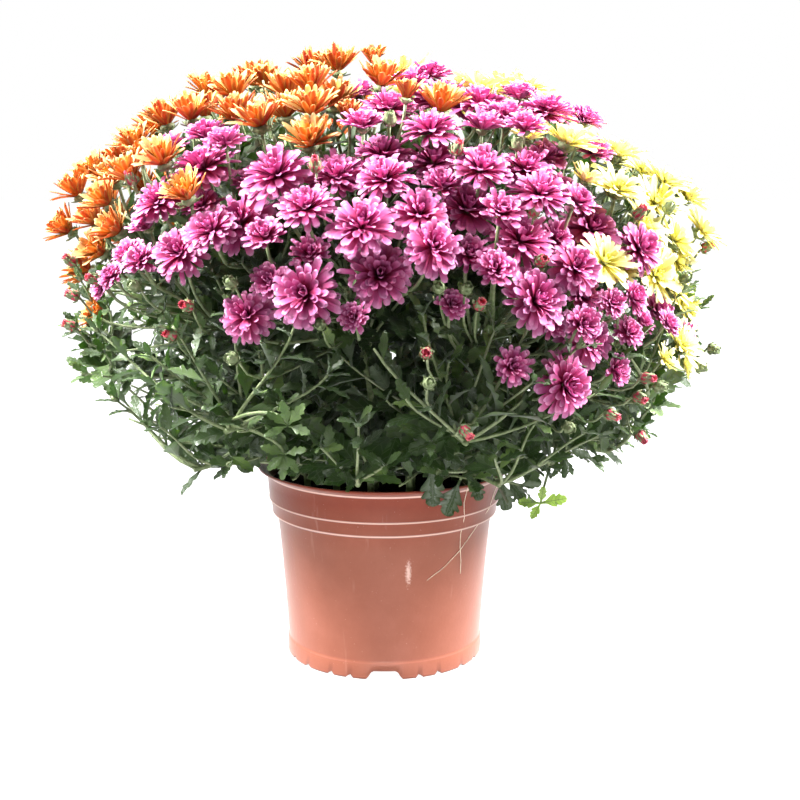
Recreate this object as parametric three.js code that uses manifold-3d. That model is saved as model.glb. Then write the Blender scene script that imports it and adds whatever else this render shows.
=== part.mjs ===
// Pot chrysanthemum: pink, orange and yellow garden mums grown together in one
// terracotta-coloured plastic pot. Millimetres, +Z up. The origin is on the ground
// under the middle of the pot, and the front of the plant faces -Y.
import * as THREE from 'three';
import { mergeVertices } from 'three/addons/utils/BufferGeometryUtils.js';
import Module from 'manifold-3d';

const wasm = await Module();
wasm.setup();

// ---------------------------------------------------------------- driving sizes
const GAP = 0.3; // air between two pieces that rest against each other
const POT_SIDES = 32;
const FOOT_R = 73.7;
const FOOT_STEP_R = 72.6;
const FOOT_STEP_Z = 12;
const BODY_TOP_R = 80.8;
const LOWER_RING_R = 84.2;
const LOWER_RING_Z = 109.3;
const UPPER_RING_R = 86.6;
const UPPER_RING_Z = 119.7;
const COLLAR_R = 88.1;
const COLLAR_Z = 138.9;
const LIP_R = 95;
const POT_HEIGHT = 144.6;
const WALL = 1.8;
const FLOOR_UNDER_Z = 6;
const FLOOR_TOP_Z = 8;
const NOTCH_TOP_WIDTH = 18;
const NOTCH_FOOT_WIDTH = 26;
const NOTCH_HEIGHT = 6;
const DRAIN_HOLES = 4;
const DRAIN_HOLE_R = 5;
const DRAIN_RING_R = 46;

const SOIL_EDGE_Z = 131;
const SOIL_TOP_Z = 134;
const SOIL_EDGE_R = 84.2;
const ROOT_DEPTH = 12; // how far a stem goes down into its hole in the soil

// The bush is a dome: full half way up, flat-topped above, tucked in below.
const DOME_Z = 245;
const DOME_ACROSS = 240;
const DOME_DEEP = 234;
const DOME_RISE = 200;
const DOME_DROP = 108;
const DOME_SHOULDER = 2.5; // above 2 the top is flatter and the shoulders squarer

// Places on the front of the bush are given on an upright sheet through the
// pot's axis, as seen from this point in front of it.
const EYE_DISTANCE = 1100;
const EYE_HEIGHT = 401;

// Blooms that face the front: millimetres to the right and up on that sheet.
const FRONT_BLOOMS = [
  {
    colour: 'pink', diameter: 41, places: [
      [44, 417], [-72, 361], [64, 338], [-12, 328], [-108, 329], [-134, 372], [-4, 286],
      [-60, 272], [100, 312], [115, 272], [155, 320], [153, 237], [139, 201],
    ],
  },
  {
    colour: 'pink', diameter: 34, places: [
      [-2, 415], [34, 395], [-58, 343], [-4, 376], [-5, 355], [36, 372], [74, 364], [22, 334],
      [-154, 303], [38, 307], [-104, 255], [144, 290], [190, 304], [-33, 361],
      [-168, 341], [-130, 320], [110, 350], [106, 367], [88, 403], [119, 408], [74, 412],
    ],
  },
  {
    colour: 'pink', diameter: 28, places: [
      [33, 434], [15, 427], [-21, 420], [98, 418], [147, 401], [73, 397], [104, 394],
      [-17, 398], [-118, 385], [-130, 389], [-162, 380], [-178, 323], [-186, 296],
      [-196, 302], [-136, 338], [-98, 355], [-90, 315], [129, 351], [42, 352], [92, 334],
      [120, 374], [154, 379], [143, 341], [128, 313], [65, 301], [86, 291], [-86, 280],
      [-56, 301], [152, 268], [184, 274], [175, 213], [97, 216], [209, 260], [149, 250],
    ],
  },
  {
    colour: 'pink', diameter: 23, places: [
      [-212, 277], [-200, 291], [-23, 254], [51, 263], [127, 250], [169, 268], [185, 242],
      [195, 251], [214, 249], [228, 242],
    ],
  },
  {
    colour: 'orange', diameter: 34, places: [
      [-128, 422], [-133, 406], [-110, 419], [-93, 428], [-113, 404], [-87, 427], [-70, 420],
      [-54, 420], [-72, 408], [-91, 400], [-52, 404], [-56, 387], [-50, 436], [-34, 439],
      [2, 424], [42, 411], [-38, 416], [-142, 404], [-157, 401], [-168, 394], [-183, 382],
      [-164, 372], [-196, 369], [-188, 361], [-215, 359], [-202, 352], [-226, 347],
      [-206, 338], [-216, 330], [-233, 324], [-201, 316], [-211, 307], [-147, 346],
    ],
  },
  {
    colour: 'orange', diameter: 26, places: [
      [-9, 443], [16, 419], [-22, 404], [-180, 373],
    ],
  },
  {
    colour: 'yellow', diameter: 35, places: [
      [68, 425], [104, 425], [135, 387], [169, 379], [174, 351], [194, 364], [206, 355],
      [224, 346], [202, 338], [196, 324], [238, 320], [219, 313], [221, 296], [205, 285],
      [214, 274], [226, 263], [168, 293], [225, 234],
    ],
  },
  {
    colour: 'yellow', diameter: 27, places: [
      [105, 388], [151, 358], [182, 288], [214, 222], [229, 218],
    ],
  },
];

// Closed buds on the front, on the same sheet.
const FRONT_BUDS = [
  [-234, 270], [-237, 247], [-149, 262], [-162, 240], [-116, 280], [-116, 222], [-188, 277],
  [-188, 357], [4, 402], [98, 384], [54, 380], [118, 296], [41, 276], [62, 275], [72, 263],
  [32, 226], [34, 203], [-49, 248], [200, 206], [173, 176], [190, 332], [-235, 296],
  [-218, 282], [-51, 368], [112, 334], [212, 336], [240, 306], [226, 283],
  [249, 229], [240, 214], [210, 199], [194, 190], [141, 166], [62, 163], [195, 159],
];

// Round the back and over the top the blooms follow a spiral over the dome.
const SPIRAL_PLACES = 330;
const BACK_BLOOM_R = 20;
const BACK_LOWEST_Z = 236;
const BACK_LEAST_TURN = 0.12; // blooms that face the front less than this belong to the back
const BACK_SPACING = 1.25;
// Compass bearing of the middle of each cutting's share of the back, in degrees from +X.
const BACK_SHARES = [
  { colour: 'pink', bearing: -90, bias: 0.32 },
  { colour: 'yellow', bearing: 35, bias: 0 },
  { colour: 'orange', bearing: 145, bias: 0 },
];

const SPRAYS = { pink: 8, orange: 7, yellow: 6 };
const BLOOM_LIFT = 0.98; // share of the dome's size at which the blooms sit
const BLOOM_STRAY = 0.04; // how much of that differs from bloom to bloom
const BACK_STRAY = 0.12;
const BUD_LIFT = 1;
const BLOOM_FLATNESS = 0.42; // half depth of a bloom against its half width
const FACE_UP = 0.22; // how far blooms turn up from the dome's skin, and stray from it
const FACE_STRAY = 0.5;
const LEAST_FULL_R = 20.2; // smaller blooms have a petal fewer
const LEAST_CROWN_R = 14.5; // smaller ones are half open and have one layer of petals
const BUD_R = 4.2;
const LEAST_SIZE = 0.5; // a crowded head stays at least this share of its size
const SIZE_STEP = 0.06;
const HEAD_AIR = 0.035; // air round a head, as a share of its size

const STEM_R = 2.7;
const STEM_TIP_R = 1.9;
const PEDUNCLE_R = 1.9;
const PEDUNCLE_BARE = 8; // the spray's own stem below its lowest stalk
const STALK_R = 1.1;
const ROOTED_R = 0.8;
const STALK_AIR = 0.5;
const STALK_TRIES = 110;
const LEAST_ELBOW = 3; // how far aside a bent stalk goes, and more at each try
const ELBOW_STEP = 0.35;
const STALK_CLEAR_FROM = 12; // stalks of one spray may only meet this near to their stem
const MOST_NOD = 1.05; // radians between a stalk and the way its bloom faces
const MOST_BEND = 1.4; // the same for a stalk that is bent
const JOINT_THICK = 2.2;
const JOINT_LEAST = 3.2;
const JOINT_MOST = 8;
const TOUCH_VOLUME = 0.002;
const ROD_SIDES = 6;
const FORK_SHARE = 0.79; // how far out towards its blooms a stem forks
const FORK_ORIGIN_Z = 150;
const STEM_SPREAD_R = 60; // the outermost stems rise this far from the pot's axis
const STEM_TRIES = 12;
const STEM_TWIST = 0.5; // turn of a stem's faces from one joint to the next

// Leafy shoots without flowers round the foot of the bush: bearing, reach, height of the tip.
const LOW_SHOOTS = [
  [-75, 196, 200], [-30, 206, 208], [10, 210, 212], [50, 204, 206], [95, 204, 208], [140, 204, 210],
  [185, 212, 212], [-120, 200, 204], [-98, 128, 158], [-55, 136, 154], [-12, 168, 160],
  [32, 160, 158], [72, 158, 158], [118, 160, 160], [162, 166, 158], [-145, 160, 160],
];

const SHOOT_SPREAD_R = 68;
const SHOOT_DROOP = 0.1;
const SHOOT_LEAVES_FROM_Z = 146;
const SHOOT_JOINTS = 4;
const STEM_JOINTS = 2; // joints with leaves on a stem that bears a spray
const STEM_LEAVES_FROM_Z = 158;

const LEAF_LENGTH = 54;
const LEAF_FIRST = 7; // from a stem's tip down to its highest leaves
const LEAF_SPACING = 24;
const LEAF_JOINT = 4; // height of the stem's face that a leaf grows from
const LEAF_SIZES = [1, 0.86, 0.72]; // tried in turn until one has room
const LEAF_LEAST_LIT = -0.25;
const LEAF_HALF_THICK = 0.7;

const LOOKS = {
  pot: { color: 0xb0664f, roughness: 0.45 },
  soil: { color: 0x1c1714, roughness: 0.95 },
  leaf: { color: 0x3f5a2c, roughness: 0.7 },
  pink: { color: 0xb83a86, roughness: 0.6 },
  orange: { color: 0xd9661c, roughness: 0.6 },
  yellow: { color: 0xe8d65a, roughness: 0.6 },
};

// ---------------------------------------------------------------- small maths
const UP = new THREE.Vector3(0, 0, 1);
const ACROSS = new THREE.Vector3(1, 0, 0);
const EYE = new THREE.Vector3(0, -EYE_DISTANCE, EYE_HEIGHT);
const GOLDEN_ANGLE = Math.PI * (3 - Math.sqrt(5));

function vec(x, y, z) {
  return new THREE.Vector3(x, y, z);
}

function mix(a, b, share) {
  return a.clone().lerp(b, share);
}

// A fixed draw between 0 and 1 for item number k; each use has its own salt.
function draw(k, salt) {
  const value = Math.sin(k * 127.1 + salt * 311.7) * 43758.5453;
  return value - Math.floor(value);
}

function drawVector(k, salt) {
  return vec(draw(k, salt) - 0.5, draw(k, salt + 1) - 0.5, draw(k, salt + 2) - 0.5);
}

// Two directions square to an axis, turned about it by an angle.
function sidesOf(axis, turn) {
  const reference = Math.abs(axis.z) < 0.9 ? UP : ACROSS;
  const side = reference.clone().cross(axis).normalize().applyAxisAngle(axis, turn);
  return [side, axis.clone().cross(side)];
}

// ---------------------------------------------------------------- the dome
// 1 on the dome's skin, less inside it and more outside.
function domeLevel(p) {
  const above = p.z > DOME_Z;
  const power = above ? DOME_SHOULDER : 2;
  const across = Math.hypot(p.x / DOME_ACROSS, p.y / DOME_DEEP);
  const rise = Math.abs(p.z - DOME_Z) / (above ? DOME_RISE : DOME_DROP);
  return (across ** power + rise ** power) ** (1 / power);
}

function domeOutward(p) {
  const step = 1;
  const slope = [ACROSS, vec(0, 1, 0), UP].map((axis) => {
    const ahead = p.clone().addScaledVector(axis, step);
    const behind = p.clone().addScaledVector(axis, -step);
    return domeLevel(ahead) - domeLevel(behind);
  });
  return vec(...slope).normalize();
}

// The point at depth y on the line of sight through a place on the front sheet.
function alongSight(place, y) {
  const share = (y + EYE_DISTANCE) / EYE_DISTANCE;
  return vec(place[0] * share, y, EYE_HEIGHT + (place[1] - EYE_HEIGHT) * share);
}

// Depth at which a line of sight meets the dome, or passes it most closely.
function sightDepth(place, level) {
  const step = 2;
  let best = { y: 0, level: Infinity };
  for (let y = -DOME_DEEP; y <= DOME_DEEP; y += step) {
    const here = domeLevel(alongSight(place, y));
    if (here <= level) {
      return y;
    }
    if (here < best.level) {
      best = { y, level: here };
    }
  }
  return best.y;
}

// ---------------------------------------------------------------- where the blooms are
// Below 1 two blooms would run into each other; blooms count as flat round cushions.
function bloomSpacing(a, b) {
  const apart = b.at.clone().sub(a.at);
  const axis = a.axis.clone().add(b.axis).normalize();
  const along = apart.dot(axis);
  const sideways = Math.sqrt(Math.max(apart.lengthSq() - along * along, 0));
  const reach = a.radius + b.radius;
  return Math.hypot(sideways / reach, along / (reach * BLOOM_FLATNESS));
}

// Blooms face outward and a little up, each in its own way.
function facing(at, k) {
  const axis = domeOutward(at).addScaledVector(UP, FACE_UP);
  return axis.addScaledVector(drawVector(k, 3), FACE_STRAY).normalize();
}

function turnOf(k) {
  return draw(k, 7) * 2 * Math.PI;
}

function frontBlooms() {
  const blooms = [];
  for (const { colour, diameter, places } of FRONT_BLOOMS) {
    for (const place of places) {
      const k = blooms.length;
      const y = sightDepth(place, BLOOM_LIFT - BLOOM_STRAY * draw(k, 1));
      const at = alongSight(place, y);
      const radius = diameter / 2;
      blooms.push({ colour, radius, place, y, at, axis: facing(at, k), turn: turnOf(k), k });
    }
  }
  return blooms;
}

// Blooms that crowd each other on the front part along the line of sight.
function easeApart(blooms) {
  const rounds = 60;
  const step = 1.6;
  const most = 58;
  const nudge = 0.12;
  const home = blooms.map((bloom) => bloom.y);
  for (let round = 0; round < rounds; round += 1) {
    for (let i = 0; i < blooms.length; i += 1) {
      for (let j = i + 1; j < blooms.length; j += 1) {
        const [a, b] = [blooms[i], blooms[j]];
        if (bloomSpacing(a, b) < 1) {
          const [near, far] = a.y < b.y ? [a, b] : [b, a];
          const aside = [a.place[0] - b.place[0], a.place[1] - b.place[1]];
          const shift = nudge / Math.hypot(...aside);
          a.place = [a.place[0] + aside[0] * shift, a.place[1] + aside[1] * shift];
          b.place = [b.place[0] - aside[0] * shift, b.place[1] - aside[1] * shift];
          near.y = Math.max(near.y - step, home[near.k] - most * 0.3);
          far.y = Math.min(far.y + step, home[far.k] + most);
          near.at = alongSight(near.place, near.y);
          far.at = alongSight(far.place, far.y);
        }
      }
    }
  }
}

function backColour(at) {
  const bearing = Math.atan2(at.y, at.x);
  const pulls = BACK_SHARES.map((share) => {
    const away = bearing - THREE.MathUtils.degToRad(share.bearing);
    return Math.cos(away) - share.bias;
  });
  return BACK_SHARES[pulls.indexOf(Math.max(...pulls))].colour;
}

// The point of the spiral number i, on the dome's skin or a little below it.
function spiralPoint(i, lift) {
  const rise = 1 - (i + 0.5) / SPIRAL_PLACES;
  const across = Math.sqrt(1 - rise * rise);
  const turn = i * GOLDEN_ANGLE;
  const centre = vec(0, 0, DOME_Z);
  const ray = vec(across * Math.cos(turn), across * Math.sin(turn), rise);
  ray.multiply(vec(DOME_ACROSS, DOME_DEEP, DOME_RISE));
  return centre.clone().addScaledVector(ray, lift / domeLevel(centre.add(ray)));
}

function backBlooms(taken) {
  const blooms = [];
  for (let i = 0; i < SPIRAL_PLACES; i += 1) {
    const k = 1000 + i;
    const at = spiralPoint(i, 1 - BACK_STRAY * draw(k, 1));
    const hidden = domeOutward(at).dot(EYE.clone().sub(at).normalize()) < BACK_LEAST_TURN;
    const radius = BACK_BLOOM_R * (0.84 + 0.3 * draw(k, 2));
    const bloom = { colour: backColour(at), radius, at, axis: facing(at, k), turn: turnOf(k), k };
    const free = [...taken, ...blooms].every((other) => bloomSpacing(bloom, other) >= BACK_SPACING);
    if (hidden && free && at.z > BACK_LOWEST_Z) {
      blooms.push(bloom);
    }
  }
  return blooms;
}

// ---------------------------------------------------------------- closed bodies
// A body is built ring by ring. Rings run counter-clockwise about the way they grow,
// and a side branch grows out of one face of its stem, so stem and branch are one skin.
class Body {
  constructor() {
    this.points = [];
    this.faces = [];
  }

  ring(corners) {
    const first = this.points.length;
    this.points.push(...corners);
    return corners.map((_, i) => first + i);
  }

  // The strip between two rings, which need not have the same number of corners, without
  // a twist: of all ways to pair their corners it takes the one that encloses most.
  join(from, to) {
    const strips = from.map((_, turn) => this.strip([...from.slice(turn), ...from.slice(0, turn)], to));
    const volumes = strips.map((faces) => this.volume(faces));
    this.faces.push(...strips[volumes.indexOf(Math.max(...volumes))]);
  }

  strip(from, to) {
    const [m, n] = [from.length, to.length];
    const faces = [];
    for (let i = 0, j = 0; i < m || j < n;) {
      const [a, b] = [from[i % m], to[j % n]];
      if ((i + 1) * n <= (j + 1) * m && i < m) {
        i += 1;
        faces.push([a, from[i % m], b]);
      } else {
        j += 1;
        faces.push([a, to[j % n], b]);
      }
    }
    return faces;
  }

  volume(faces) {
    const origin = this.points[faces[0][0]];
    return faces.reduce((sum, face) => {
      const [a, b, c] = face.map((i) => this.points[i].clone().sub(origin));
      return sum + a.dot(b.cross(c));
    }, 0);
  }

  capStart(ring) {
    ring.slice(1, -1).forEach((here, i) => this.faces.push([ring[0], ring[i + 2], here]));
  }

  capEnd(ring) {
    ring.slice(1, -1).forEach((here, i) => this.faces.push([ring[0], here, ring[i + 2]]));
  }

  // The stem's skin between two rings, left open on some sides for branches to grow from.
  level(low, high, openSides) {
    return low.map((here, s) => {
      const next = (s + 1) % low.length;
      if (!openSides.includes(s)) {
        this.faces.push([here, low[next], high[next]], [here, high[next], high[s]]);
      }
      return [here, low[next], high[next], high[s]];
    });
  }

  // Turns an opening so that its corners lie as those of the ring that it joins.
  matched(opening, ringPoints) {
    const corners = opening.map((i) => this.points[i]);
    const way = middleOf(ringPoints).sub(middleOf(corners)).normalize();
    const spokes = [corners, ringPoints].map((points) => points.map((p) => {
      const spoke = p.clone().sub(middleOf(points));
      return spoke.addScaledVector(way, -spoke.dot(way)).normalize();
    }));
    const [m, n] = spokes.map((list) => list.length);
    const fits = opening.map((_, turn) => spokes[1].reduce((sum, spoke, i) => (
      sum + spoke.dot(spokes[0][(Math.round((i * m) / n) + turn) % m])
    ), 0));
    const turn = fits.indexOf(Math.max(...fits));
    return opening.map((_, i) => opening[(i + turn) % m]);
  }

  solid() {
    const geometry = new THREE.BufferGeometry();
    const numbers = this.points.flatMap((p) => [p.x, p.y, p.z]);
    geometry.setAttribute('position', new THREE.Float32BufferAttribute(numbers, 3));
    geometry.setIndex(this.faces.flat());
    return solidOf(geometry);
  }
}

function middleOf(points) {
  return points.reduce((sum, p) => sum.add(p), vec(0, 0, 0)).divideScalar(points.length);
}

function solidOf(geometry) {
  geometry.deleteAttribute('normal');
  geometry.deleteAttribute('uv');
  const merged = mergeVertices(geometry, 1e-4);
  return new wasm.Manifold(new wasm.Mesh({
    numProp: 3,
    vertProperties: new Float32Array(merged.attributes.position.array),
    triVerts: new Uint32Array(merged.index.array),
  }));
}

// The corners of a flat-sided ring round a point, square to an axis.
function ringOf(centre, axis, side, radius, sides) {
  const across = side.clone().addScaledVector(axis, -side.dot(axis)).normalize();
  const other = axis.clone().cross(across);
  const corners = [];
  for (let s = 0; s < sides; s += 1) {
    const angle = (2 * Math.PI * s) / sides;
    const corner = centre.clone().addScaledVector(across, radius * Math.cos(angle));
    corners.push(corner.addScaledVector(other, radius * Math.sin(angle)));
  }
  return corners;
}

// A plain rod along a row of points, used to try whether a way is clear. A ring of that
// radius fits inside it however the ring is turned.
function rodSolid(points, radius) {
  const sides = ROD_SIDES;
  const reach = radius / Math.cos(Math.PI / sides);
  const body = new Body();
  const [side] = sidesOf(points[1].clone().sub(points[0]).normalize(), 0);
  let last = null;
  points.forEach((p, i) => {
    const ahead = points[Math.min(i + 1, points.length - 1)];
    const along = ahead.clone().sub(points[Math.max(i - 1, 0)]).normalize();
    const ring = body.ring(ringOf(p, along, side, reach, sides));
    if (last) {
      body.join(last, ring);
    } else {
      body.capStart(ring);
    }
    last = ring;
  });
  body.capEnd(last);
  return body.solid();
}

// The face of a three-sided stem that looks most nearly along a direction.
function faceTowards(low, high, points, way) {
  const axis = middleOf(high.map((i) => points[i])).sub(middleOf(low.map((i) => points[i])));
  const centre = middleOf(low.map((i) => points[i]));
  const pulls = low.map((here, s) => {
    const edge = mix(points[here], points[low[(s + 1) % low.length]], 0.5).sub(centre);
    return edge.addScaledVector(axis, -edge.dot(axis) / axis.lengthSq()).normalize().dot(way);
  });
  return pulls.indexOf(Math.max(...pulls));
}

// ---------------------------------------------------------------- flower heads
// An outer star of petals and a raised crown of shorter ones round the heart.
const BLOOM_FORMS = {
  pink: { petals: 6, tipZ: -0.1, notchR: 0.74, crownR: 0.56, crownZ: 0.26, heartZ: 0.08 },
  orange: { petals: 6, tipZ: 0.24, notchR: 0.55, crownR: 0.42, crownZ: 0.3, heartZ: 0 },
  yellow: { petals: 6, tipZ: 0.1, notchR: 0.58, crownR: 0.36, crownZ: 0.22, heartZ: 0.1 },
};
const BLOOM_UNDER = 0.36; // depth of the green cup under the petals, in bloom radii

function headFoot(head) {
  const depth = head.isBud ? head.radius : BLOOM_UNDER * head.radius;
  return head.at.clone().addScaledVector(head.axis, -depth);
}

function addBloom(body, bloom, neck, size) {
  const form = BLOOM_FORMS[bloom.colour];
  const radius = bloom.radius * size;
  const petals = bloom.radius > LEAST_FULL_R ? form.petals : form.petals - 1;
  const [side, other] = sidesOf(bloom.axis, bloom.turn);
  const place = (angle, r, z) => bloom.at.clone()
    .addScaledVector(side, radius * r * Math.cos(angle))
    .addScaledVector(other, radius * r * Math.sin(angle))
    .addScaledVector(bloom.axis, radius * z);
  const rim = [];
  const crown = [];
  for (let i = 0; i < petals; i += 1) {
    const angle = (2 * Math.PI * i) / petals;
    const half = Math.PI / petals;
    const sag = 0.08 * (draw(bloom.k * 16 + i, 9) - 0.5);
    rim.push(place(angle, 1, form.tipZ + sag), place(angle + half, form.notchR, form.tipZ * 0.8 - 0.02));
    crown.push(place(angle + half, form.crownR, form.crownZ));
  }
  const outer = body.ring(rim);
  const [heart] = body.ring([place(0, 0, form.heartZ)]);
  body.join(neck, outer);
  if (bloom.radius < LEAST_CROWN_R) {
    body.join(outer, [heart]);
    return;
  }
  const inner = body.ring(crown);
  for (let i = 0; i < petals; i += 1) {
    const [tip, notch, next] = [outer[2 * i], outer[2 * i + 1], outer[(2 * i + 2) % outer.length]];
    const nextCrown = inner[(i + 1) % petals];
    body.faces.push([tip, notch, inner[i]], [notch, next, inner[i]]);
    body.faces.push([inner[i], next, nextCrown], [heart, inner[i], nextCrown]);
  }
}

function addBud(body, bud, neck, size) {
  const corners = neck.map((i) => body.points[i]);
  const side = corners[0].clone().sub(middleOf(corners));
  const waist = body.ring(ringOf(bud.at, bud.axis, side, bud.radius * size, neck.length));
  const [tip] = body.ring([bud.at.clone().addScaledVector(bud.axis, 1.2 * bud.radius)]);
  body.join(neck, waist);
  body.join(waist, [tip]);
}

// Carries an opening along a stalk to a head, and closes it with the head. Each ring
// stands square to the mean of the ways in and out of it, and none is twisted.
function addHead(body, opening, head, elbows, size) {
  const start = middleOf(opening.map((i) => body.points[i]));
  const route = [start, ...elbows, headFoot(head)];
  const side = body.points[opening[0]].clone().sub(start);
  let from = opening;
  for (let i = 1; i < route.length; i += 1) {
    const comes = route[i].clone().sub(route[i - 1]).normalize();
    const goes = i + 1 < route.length ? route[i + 1].clone().sub(route[i]).normalize() : head.axis;
    const ring = body.ring(ringOf(route[i], comes.add(goes).normalize(), side, STALK_R, 3));
    body.join(from, ring);
    from = ring;
  }
  (head.isBud ? addBud : addBloom)(body, head, from, size);
}

function headSolid(head, size) {
  const body = new Body();
  const [side] = sidesOf(head.axis, head.turn);
  const neck = body.ring(ringOf(headFoot(head), head.axis, side, STALK_R, 3));
  body.capStart(neck);
  (head.isBud ? addBud : addBloom)(body, head, neck, size);
  return body.solid();
}

// ---------------------------------------------------------------- leaves
// Half outline of a lobed leaf, as shares of its length: [along, sideways].
const LEAF_EDGE = [[0.4, 0.25], [0.47, 0.1], [0.68, 0.27], [0.74, 0.11]];
const LEAF_MIDDLE = 0.5;
const LEAF_STALK = 0.08;
const LEAF_STALK_HALF = 0.026;
const LEAF_BASE = 0.25;
const LEAF_FOLD = 0.22;

// A thin blade, thickest along its midrib, folded up a little on both sides of it.
function addLeaf(body, leaf, opening, halfThick) {
  const { root, way, face, length, droop } = leaf;
  const side = way.clone().cross(face).normalize();
  const out = side.clone().cross(way);
  const place = (along, sideways, up) => root.clone()
    .addScaledVector(way, along * length)
    .addScaledVector(side, sideways * length)
    .addScaledVector(out, up + length * (LEAF_FOLD * Math.abs(sideways) - droop * along * along));
  const stalkEnd = [
    place(LEAF_STALK, LEAF_STALK_HALF, 0), place(LEAF_STALK, 0, -halfThick),
    place(LEAF_STALK, -LEAF_STALK_HALF, 0), place(LEAF_STALK, 0, halfThick),
  ];
  const blade = opening ? body.matched(opening, stalkEnd) : body.ring(stalkEnd);
  if (!opening) {
    body.capStart(blade);
  }
  const [right, stalkUnder, left, stalkTop] = blade;
  const ribs = [place(LEAF_MIDDLE, 0, halfThick), place(LEAF_MIDDLE, 0, -halfThick), place(1, 0, 0)];
  const [middleTop, middleUnder, tip] = body.ring(ribs);
  for (const hand of [1, -1]) {
    const lobes = body.ring(LEAF_EDGE.map(([along, sideways]) => place(along, hand * sideways, 0)));
    const edge = [hand > 0 ? right : left, ...lobes, tip];
    const half = [[stalkTop, edge[2], middleTop], [stalkUnder, middleUnder, edge[2]]];
    for (let i = 0; i + 1 < edge.length; i += 1) {
      const [top, under] = i < 2 ? [stalkTop, stalkUnder] : [middleTop, middleUnder];
      half.push([top, edge[i], edge[i + 1]], [under, edge[i + 1], edge[i]]);
    }
    body.faces.push(...half.map(([a, b, c]) => (hand > 0 ? [a, b, c] : [a, c, b])));
  }
}

function leafSolid(leaf, halfThick) {
  const body = new Body();
  addLeaf(body, leaf, null, halfThick);
  return body.solid();
}

// ---------------------------------------------------------------- keeping pieces apart
const placed = []; // small trial solids so far, with their owner's name and box

function keep(name, solid) {
  placed.push({ name, solid, box: solid.boundingBox() });
}

// True if a trial solid touches nothing but what its own names own.
function isClear(solid, ...names) {
  const box = solid.boundingBox();
  return placed.every((other) => {
    const beside = [0, 1, 2].some((i) => other.box.min[i] > box.max[i] || box.min[i] > other.box.max[i]);
    return names.includes(other.name) || beside || solid.intersect(other.solid).isEmpty();
  });
}

// ---------------------------------------------------------------- sprays
// Blooms of one colour are shared out to the nearest of a few well-spread centres.
function shareOut(blooms, count) {
  const centres = [blooms[0].at.clone()];
  while (centres.length < count) {
    const gaps = blooms.map((bloom) => Math.min(...centres.map((c) => c.distanceTo(bloom.at))));
    centres.push(blooms[gaps.indexOf(Math.max(...gaps))].at.clone());
  }
  let groups = [];
  for (let round = 0; round < 12; round += 1) {
    groups = centres.map(() => []);
    for (const bloom of blooms) {
      const gaps = centres.map((centre) => centre.distanceTo(bloom.at));
      groups[gaps.indexOf(Math.min(...gaps))].push(bloom);
    }
    groups.forEach((group, i) => {
      centres[i] = middleOf(group.map((bloom) => bloom.at));
    });
  }
  return groups.map((group, i) => ({ heads: group, centre: centres[i] }));
}

function numbered(name, i) {
  return `${name}_${String(i + 1).padStart(2, '0')}`;
}

function makeSprays(blooms, buds) {
  const sprays = [];
  const origin = vec(0, 0, FORK_ORIGIN_Z);
  for (const [colour, count] of Object.entries(SPRAYS)) {
    const own = blooms.filter((bloom) => bloom.colour === colour);
    shareOut(own, count).forEach((group, i) => {
      const fork = mix(origin, group.centre, FORK_SHARE);
      const lean = fork.clone().sub(origin).normalize();
      sprays.push({ name: numbered(`${colour}_spray`, i), colour, fork, lean, ...group });
    });
  }
  for (const bud of buds) {
    const nearest = sprays.reduce((a, b) => (a.fork.distanceTo(bud.at) < b.fork.distanceTo(bud.at) ? a : b));
    nearest.heads.push(bud);
  }
  for (const spray of sprays) {
    spreadStalks(spray);
  }
  return sprays;
}

// A head may nod on its stalk, but only so far.
function liftNod(head, fork) {
  const stalk = head.at.clone().sub(fork).normalize();
  const nod = head.axis.angleTo(stalk);
  if (nod > MOST_NOD) {
    head.axis.applyAxisAngle(head.axis.clone().cross(stalk).normalize(), nod - MOST_NOD);
  }
}

// The stalk that leans out most leaves the stem lowest; the straightest ends it.
function spreadStalks(spray) {
  const { fork, lean, heads } = spray;
  for (const head of heads) {
    liftNod(head, fork);
    head.off = headFoot(head).sub(fork).angleTo(lean);
    head.tall = THREE.MathUtils.clamp(JOINT_THICK / Math.sin(head.off), JOINT_LEAST, JOINT_MOST);
  }
  heads.sort((a, b) => b.off - a.off);
  const last = heads.length - 1;
  const length = heads.slice(0, last).reduce((sum, head) => sum + head.tall, 0);
  spray.foot = fork.clone().addScaledVector(lean, -length - PEDUNCLE_BARE);
  let height = PEDUNCLE_BARE;
  for (const head of heads) {
    head.level = height;
    head.start = spray.foot.clone().addScaledVector(lean, height + head.tall / 2);
    height += head.tall;
  }
  heads[last].start = fork.clone();
}

function makeBuds() {
  return FRONT_BUDS.map((place, i) => {
    const k = 2000 + i;
    const at = alongSight(place, sightDepth(place, BUD_LIFT));
    return { isBud: true, at, axis: facing(at, k), radius: BUD_R, turn: 0, k };
  });
}

// Shrinks a head until it is clear of the heads before it.
function placeHead(spray, head) {
  head.name = `${spray.name} ${head.k}`;
  head.size = 1;
  while (head.size > LEAST_SIZE && !isClear(headSolid(head, head.size + HEAD_AIR))) {
    head.size -= SIZE_STEP;
  }
  keep(head.name, headSolid(head, head.size));
}

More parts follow.
